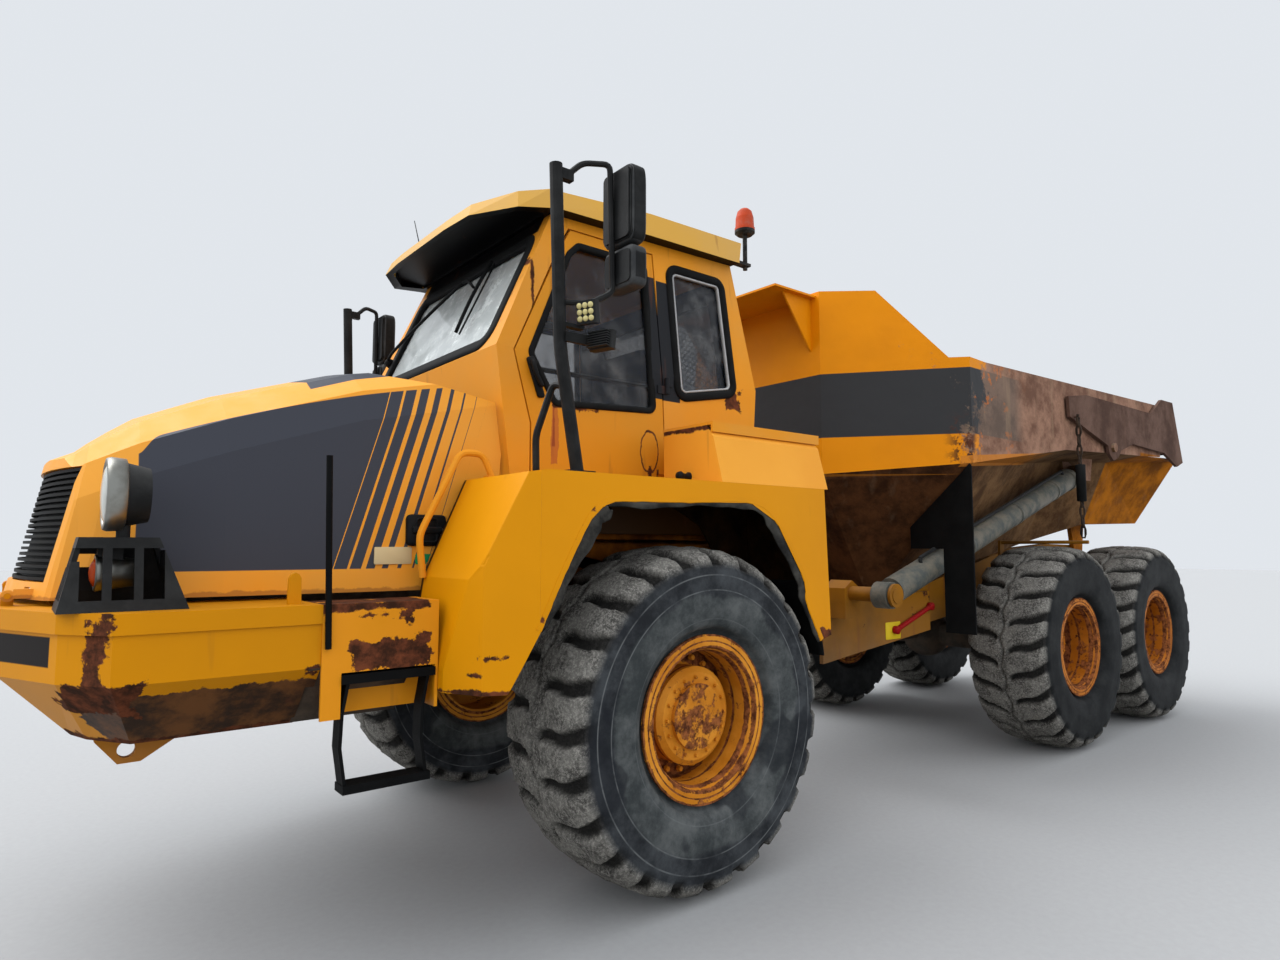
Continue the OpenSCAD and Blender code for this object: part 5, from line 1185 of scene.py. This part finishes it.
# Head lamps: a deep steel ring and a domed lens; a round lamp inside each guard
for side_name, side in SIDES.items():
    centre = place(2.235, side * 0.905, 1.745)
    ring = lathe([(0.0, 0.106), (0.004, 0.118), (0.046, 0.1215), (0.058, 0.117), (0.060, 0.106),
                  (0.050, 0.102), (0.046, 0.100), (0.0, 0.106)], centre, (1, 0, 0), 56)
    add_piece(f"head_lamp_ring_{side_name}", *ring, "front_unit", "grey_steel", MAT["bezel"])
    glass_dome = lathe([(0.044, 0.0), (0.044, 0.103), (0.054, 0.097), (0.062, 0.075), (0.066, 0.045),
                        (0.068, 0.0)], centre, (1, 0, 0), 56)
    add_piece(f"head_lamp_lens_{side_name}", *glass_dome, "front_unit", "window_glass", MAT["lens"])
    low_centre = place(2.285, side * 0.860, 1.490)
    cup = lathe([(-0.10, 0.0), (-0.10, 0.045), (0.0, 0.058), (0.014, 0.062), (0.020, 0.058), (0.020, 0.050),
                 (0.010, 0.048), (0.010, 0.0)], low_centre, (1, 0, 0), 40)
    add_piece(f"low_lamp_ring_{side_name}", *cup, "front_unit", "grey_steel", MAT["bezel"])
    dome = lathe([(0.008, 0.0), (0.008, 0.050), (0.022, 0.044), (0.032, 0.025), (0.036, 0.0)], low_centre,
                 (1, 0, 0), 40)
    add_piece(f"low_lamp_lens_{side_name}", *dome, "front_unit", "beacon_lens", MAT["orange_lens"])

# Mirror glass on the rear of each head, and the nine cells of the square work lamp
for side_name, side in SIDES.items():
    parts = []
    for y0, z0, w, h in ((MAST_Y - 0.004, 2.862, 0.210, 0.336), (MAST_Y + 0.002, 2.668, 0.206, 0.172)):
        outline = rectangle((side * (y0 + 0.012), z0 + 0.012), (side * (y0 + w - 0.012), z0 + h - 0.012),
                            0.028)
        parts.append(wall_plate(outline, [(0, -0.004), (0, 0.0015), (-0.002, 0.0025)],
                                flat_wall("x", 0.505, -1)))
    add_piece(f"mirror_panes_{side_name}", *join(parts), "front_unit", "grey_steel", MAT["mirror"])
    shells = [pillow(place(0.532, side * (MAST_Y - 0.004 + 0.105), 2.862 + 0.168), (0.045, 0.104, 0.172),
                     0.30), pillow(place(0.532, side * (MAST_Y + 0.002 + 0.103), 2.668 + 0.086),
                                   (0.042, 0.103, 0.090), 0.26)]
    add_piece(f"mirror_shells_{side_name}", *join(shells), "front_unit", "black_parts", MAT["mirror_shell"])
    turn, tilt = math.radians(24), math.radians(8)
    forward = np.array([math.cos(turn) * math.cos(tilt), side * math.sin(turn) * math.cos(tilt),
                        -math.sin(tilt)])
    sideways = np.array([-math.sin(turn), side * math.cos(turn), 0.0])
    upward = np.array([math.cos(turn) * math.sin(tilt), side * math.sin(turn) * math.sin(tilt),
                       math.cos(tilt)])
    origin = place(0.700, side * (MAST_Y + 0.024), 2.500)
    cells = []
    for i in range(3):
        for j in range(3):
            centre = origin + forward * 0.044 + sideways * (0.019 + 0.027 * i) + upward * (0.021 + 0.027 * j)
            cells.append(lathe([(-0.002, 0.0), (-0.002, 0.0125), (0.003, 0.0122), (0.007, 0.008),
                                (0.0085, 0.0)], centre, forward, 16))
    add_piece(f"work_lamp_cells_{side_name}", *join(cells), "front_unit", "window_glass", MAT["led"])

# Worn edge of each fender arch, and the wavy rubber lip behind it
ARCH = [(0.926, 1.250), (0.818, 1.468), (0.699, 1.678), (0.629, 1.742), (0.557, 1.765), (0.150, 1.775),
        (-0.253, 1.785), (-0.440, 1.695), (-0.640, 1.410), (-0.662, 1.290), (-0.770, 1.090)]


def arch_strip(path, inner, outer, side, level):
    """A strip along an open path on the fender's side, between two distances into the arch: a profile of four
    corners and a sloped edge, 9 mm thick, whose outer face lies at a level proud of the fender."""
    into = -outward(path, closed=False)
    deep = [inner, inner, outer - 0.003, outer, outer]
    proud = np.array([level - 0.009, level, level, level - 0.003, level - 0.009])
    flat = np.stack([path + into * np.broadcast_to(d, len(path))[:, None] for d in deep], 1)
    edge_y = FENDER_HALF + proud[None] - np.clip(path[:, None, 0] - 0.930, 0, None) * 0.4
    verts = np.stack([flat[..., 0] + AXLE_X, side * edge_y, flat[..., 1]], -1)
    return verts, bar_faces(len(path), len(deep))


for side_name, side in SIDES.items():
    path = smooth_path(ARCH, 10)
    run = np.linspace(0, 1, len(path))
    ripple = 0.008 * np.sin(run * 46) + 0.003 * np.sin(run * 131)
    rim = 0.004 + 0.0015 * np.sin(run * 210) * np.sin(run * 47)
    reach = np.interp(run, [0, 0.05, 0.1, 0.2, 0.27, 0.35, 0.4, 0.6, 0.68, 0.8, 0.9, 1.0],
                      [0.010, 0.034, 0.048, 0.066, 0.066, 0.038, 0.024, 0.026, 0.055, 0.055, 0.036, 0.012])
    add_piece(f"arch_edge_{side_name}", *arch_strip(path, -0.022, rim, side, 0.0012), "front_unit",
              "yellow_paint", MAT["arch_edge"], smooth=False)
    add_piece(f"arch_lip_{side_name}", *arch_strip(path, -0.006, reach + ripple, side, -0.003),
              "front_unit", "rubber_parts", MAT["lip"])


# Folded nose of each fender, with the bevelled corner, the splash wall and the rubber flap inside the arch

def offset_path(path, distance):
    """An open path moved sideways, each corner along the line that halves its bend."""
    step = np.diff(path, axis=0)
    square = np.stack([step[:, 1], -step[:, 0]], 1) / np.linalg.norm(step, axis=1)[:, None]
    middle = np.vstack([square[:1], square]) + np.vstack([square, square[-1:]])
    return path + distance * 2 * middle / np.sum(middle ** 2, axis=1)[:, None]


def nose_plan(level):
    """The nose's plan at a height: across the front, then back along the two bevels to the arch."""
    front = np.interp(level, [1.02, 1.11, 1.45, 1.866], [1.210, 1.210, 1.160, 0.975])
    back = np.interp(level, [1.02, 1.108, 1.219, 1.241, 1.9], [1.040, 0.995, 0.941, 0.930, 0.930])

    def bevel(x):
        return np.interp(x, [0.930, 1.130, 1.230], [FENDER_HALF, 1.300, 1.100])

    fold = min(1.130, front - 0.010)
    path = np.array([[front, 0.814], [front, bevel(front)], [fold, bevel(fold) + 0.0003],
                     [back, bevel(back)]])
    return rounded(np.vstack([offset_path(path, 0.0025), offset_path(path, -0.0035)[::-1]]), 0.007, 4)


NOSE_LEVELS = np.concatenate([np.linspace(1.02, 1.108, 4), np.linspace(1.14, 1.241, 4),
                              np.linspace(1.28, 1.45, 5), np.linspace(1.50, 1.866, 9)])
for side_name, side in SIDES.items():
    rings = [np.column_stack([plan[:, 0] + AXLE_X, side * plan[:, 1], np.full(len(plan), level)])
             for level, plan in ((level, nose_plan(level)) for level in NOSE_LEVELS)]
    add_piece(f"fender_nose_{side_name}", np.stack(rings), bar_faces(len(rings), len(rings[0])),
              "front_unit", "yellow_paint", MAT["fender"], smooth=False)
    field = rectangle((-0.755, 1.240), (0.800, 1.648), 0.02)
    add_piece(f"arch_wall_{side_name}",
              *wall_plate(field, [(0, -0.003), (0, 0.003), (-0.030, 0.003), (-0.040, 0.010), (-0.060, 0.010),
                                  (-0.070, 0.003)], flat_wall("y", side * 0.700, side)), "front_unit",
              "yellow_paint", MAT["arch_wall"])
    hang = smooth_path([(-0.650, 1.400), (-0.675, 1.300), (-0.725, 1.190), (-0.785, 1.080), (-0.800, 1.010)],
                       5)
    lie = np.linspace(0.850, 1.372, 22)
    ripple = 0.006 * np.sin(lie * 34)
    sheets = [np.stack([AXLE_X + hang[:, None, 0] + ripple[None] + shift,
                        side * lie[None] + 0 * hang[:, None, 0], hang[:, None, 1] + 0 * lie[None]],
                       2) for shift in (0.0, -0.008)]
    add_piece(f"arch_flap_{side_name}", *thick_sheet(*sheets), "front_unit", "rubber_parts", MAT["flap"])
    # The bumper's bevel goes on behind the side panel
    bevel_run = np.array([(1.092, 1.150), (1.030, 1.092), (0.960, 1.020), (0.885, 0.932)])
    lengths = np.linspace(1.300, 1.690, 6)
    tray = [np.stack([AXLE_X + lengths[:, None] + 0 * bevel_run[None, :, 0],
                      side * (bevel_run[None, :, 0] - drop) + 0 * lengths[:, None],
                      bevel_run[None, :, 1] + 0 * lengths[:, None]], 2) for drop in (0.0, 0.008)]
    add_piece(f"skirt_end_{side_name}", *thick_sheet(*tray), "front_unit", "rusty_steel", MAT["rust"])

# Box latches on the front faces of the storage boxes
for side_name, side in SIDES.items():
    base = place(-0.060, side * 1.148, 1.918)
    stem = lathe([(-0.004, 0.0), (-0.004, 0.022), (0.008, 0.022), (0.020, 0.014), (0.048, 0.016),
                  (0.056, 0.024), (0.072, 0.020), (0.076, 0.0)], base, (1, 0, 0), 24)
    add_piece(f"box_latch_{side_name}", *stem, "front_unit", "black_parts", MAT["latch"])


# Oil pipe and bands on each tip barrel, laid along the barrel's own line
# Each band has its place along the barrel, half its width at the foot and at the top, and its height
BANDS = [(1.05, 0.016, 0.016, 0.004), (1.85, 0.016, 0.016, 0.004), (2.55, 0.016, 0.016, 0.004),
         (BARREL_LEN - 0.035, 0.030, 0.028, 0.009)]


def tip_point(side, along, out=0.0, up=0.0):
    """A point by its distance along the tip cylinder, outwards across it and square above it."""
    c, q = math.cos(TIP_SLOPE), math.sin(TIP_SLOPE)
    return place(TIP_PIN[0] - along * c + up * q, side * (TIP_Y + out), TIP_PIN[1] + along * q + up * c)


for side_name, side in SIDES.items():
    route = [tip_point(side, a, out, up) for a, out,
             up in ((0.42, 0.03, 0.070), (0.43, 0.03, 0.104), (0.50, 0.03, 0.112), (1.2, 0.03, 0.110),
                    (2.0, 0.03, 0.110), (2.70, 0.03, 0.112), (2.78, 0.03, 0.104), (2.80, 0.03, 0.070))]
    add_piece(f"oil_pipe_{side_name}", *tube(smooth_path(route, 6), 0.013, 12), "tip_barrels", "black_parts",
              MAT["black"])
    axis = tip_point(side, 1.0) - tip_point(side, 0.0)
    bands = []
    for along, foot, top, proud in BANDS:
        profile = [(-foot, BARREL_R - 0.002), (-top, BARREL_R + proud), (top, BARREL_R + proud),
                   (foot, BARREL_R - 0.002), (-foot, BARREL_R - 0.002)]
        bands.append(lathe(profile, tip_point(side, along), axis, 40))
    add_piece(f"barrel_bands_{side_name}", *join(bands), "tip_barrels", "grey_steel", MAT["grey"])

# Red lock bar and a blank plate on the rear frame's side, and a rubber sleeve on each chain
for side_name, side in SIDES.items():
    bar_ends = [place(-2.585, side * 0.650, 0.962), place(-3.060, side * 0.650, 1.112)]
    eyes = [lathe([(-0.018, 0.0), (-0.018, 0.030), (0.018, 0.030), (0.018, 0.0)], end, (0, 1, 0),
                  24) for end in bar_ends]
    add_piece(f"lock_bar_{side_name}", *join([tube(np.linspace(*bar_ends, 6), 0.018, 14)] + eyes),
              "rear_unit", "rusty_steel", MAT["red"])
    sleeve = lathe([(0.0, 0.026), (0.004, 0.034), (0.286, 0.036), (0.290, 0.028), (0.0, 0.026)],
                   place(-3.950, side * 1.435, 1.925), (0, 0, 1), 24)
    add_piece(f"chain_sleeve_{side_name}", *sleeve, "tailgate_chains", "rubber_parts", MAT["seal"])
add_piece("blank_plate", *wall_plate(rectangle((-2.665, 0.895), (-2.475, 1.020), 0.012),
                                     [(0, -0.001), (0, 0.003), (-0.001, 0.004)], flat_wall("y", 0.630)),
          "rear_unit", "yellow_paint", MAT["sign"])

# Two blank stickers beside the left latch
for label, centre, half in (("cream", (1.270, 1.537), (0.080, 0.036)),
                            ("green", (1.131, 1.521), (0.042, 0.022))):
    outline = rectangle(np.subtract(centre, half), np.add(centre, half), 0.006)
    add_piece(f"{label}_sticker", *wall_plate(outline, [(0, -0.004), (0, 0.003), (-0.001, 0.0035)],
                                              flat_wall("y", 0.7595)), "bonnet", "yellow_paint", MAT[label])

# Whip aerial on the roof's far front corner
aerial = np.array([place(0.60, -0.60, 3.335), place(0.61, -0.60, 3.42), place(0.65, -0.62, 3.62)])
add_piece("aerial",
          *join([tube(aerial, np.array([0.006, 0.004, 0.0025]), 8),
                 lathe([(-0.01, 0.0), (-0.01, 0.022), (0.012, 0.018), (0.03, 0.009), (0.032, 0.0)],
                       aerial[0], (0, 0, 1), 16)]), "front_unit", "black_parts", MAT["black"])

# Floor, light and camera
FLOOR_HALF = 60.0
floor_mesh = bpy.data.meshes.new("floor")
corners = [(x * FLOOR_HALF, y * FLOOR_HALF, 0) for x, y in ((-1, -1), (1, -1), (1, 1), (-1, 1))]
floor_mesh.from_pydata(corners, [], [(0, 1, 2, 3)])
floor = bpy.data.objects.new("floor", floor_mesh)
bpy.context.scene.collection.objects.link(floor)
floor_mat, floor_tree, floor_shader, floor_position, _ = new_material("floor_pale")
floor_tone = blend_colour(floor_tree, noise(floor_tree, floor_position, 30.0, 6.0), srgb(156, 158, 160),
                          srgb(166, 168, 170))
# The floor looks pale, but throws back only as much light as gravel does
floor_rays = floor_tree.nodes.new("ShaderNodeLightPath").outputs
floor_seen = larger(floor_tree, floor_rays["Is Camera Ray"], floor_rays["Is Glossy Ray"])
floor_tone = blend_colour(floor_tree, floor_seen, srgb(126, 126, 124), floor_tone)
floor_tree.links.new(floor_tone, floor_shader.inputs["Base Color"])
floor_shader.inputs["Roughness"].default_value = 0.9
floor_mesh.materials.append(floor_mat)

world = bpy.data.worlds.new("studio")
bpy.context.scene.world = world
world.use_nodes = True
sky = world.node_tree
sky_rays = sky.nodes.new("ShaderNodeLightPath").outputs
sky_seen = larger(sky, larger(sky, sky_rays["Is Camera Ray"], sky_rays["Is Glossy Ray"]),
                  sky_rays["Is Transmission Ray"])
sky.links.new(blend_colour(sky, sky_seen, (0.95, 0.96, 0.98, 1.0), (0.86, 0.90, 0.95, 1.0)),
              sky.nodes["Background"].inputs[0])
sky.links.new(ramp(sky, sky_seen, 0.0, 1.0, 1.55, 0.88), sky.nodes["Background"].inputs[1])

SUN_STRENGTH = 2.35
SUN_WIDTH = 50
SUN_TURN = (38, 14, 20)
sun_data = bpy.data.lights.new("soft_sun", "SUN")
sun_data.energy = SUN_STRENGTH
sun_data.angle = math.radians(SUN_WIDTH)
sun = bpy.data.objects.new("soft_sun", sun_data)
sun.rotation_euler = tuple(math.radians(turn) for turn in SUN_TURN)
bpy.context.scene.collection.objects.link(sun)

# Camera fitted to the photograph: place in metres, turns in radians, focal length in pixels
CAMERA_PLACE = (2.5224, 3.9513, 1.5775)
CAMERA_YAW, CAMERA_PITCH, CAMERA_ROLL = 4.0313, 0.0850, 0.0005
FOCAL_PIXELS = 774.808
PHOTO_WIDTH = 1280
SENSOR_WIDTH = 36.0
camera_data = bpy.data.cameras.new("camera")
camera_data.sensor_width = SENSOR_WIDTH
camera_data.lens = SENSOR_WIDTH * FOCAL_PIXELS / PHOTO_WIDTH
camera_data.clip_end = 500.0
camera = bpy.data.objects.new("camera", camera_data)
camera.location = place(*CAMERA_PLACE)
camera.rotation_euler = (math.pi / 2 + CAMERA_PITCH, -CAMERA_ROLL, CAMERA_YAW - math.pi / 2)
bpy.context.scene.collection.objects.link(camera)
bpy.context.scene.camera = camera
bpy.context.scene.view_settings.view_transform = "Standard"
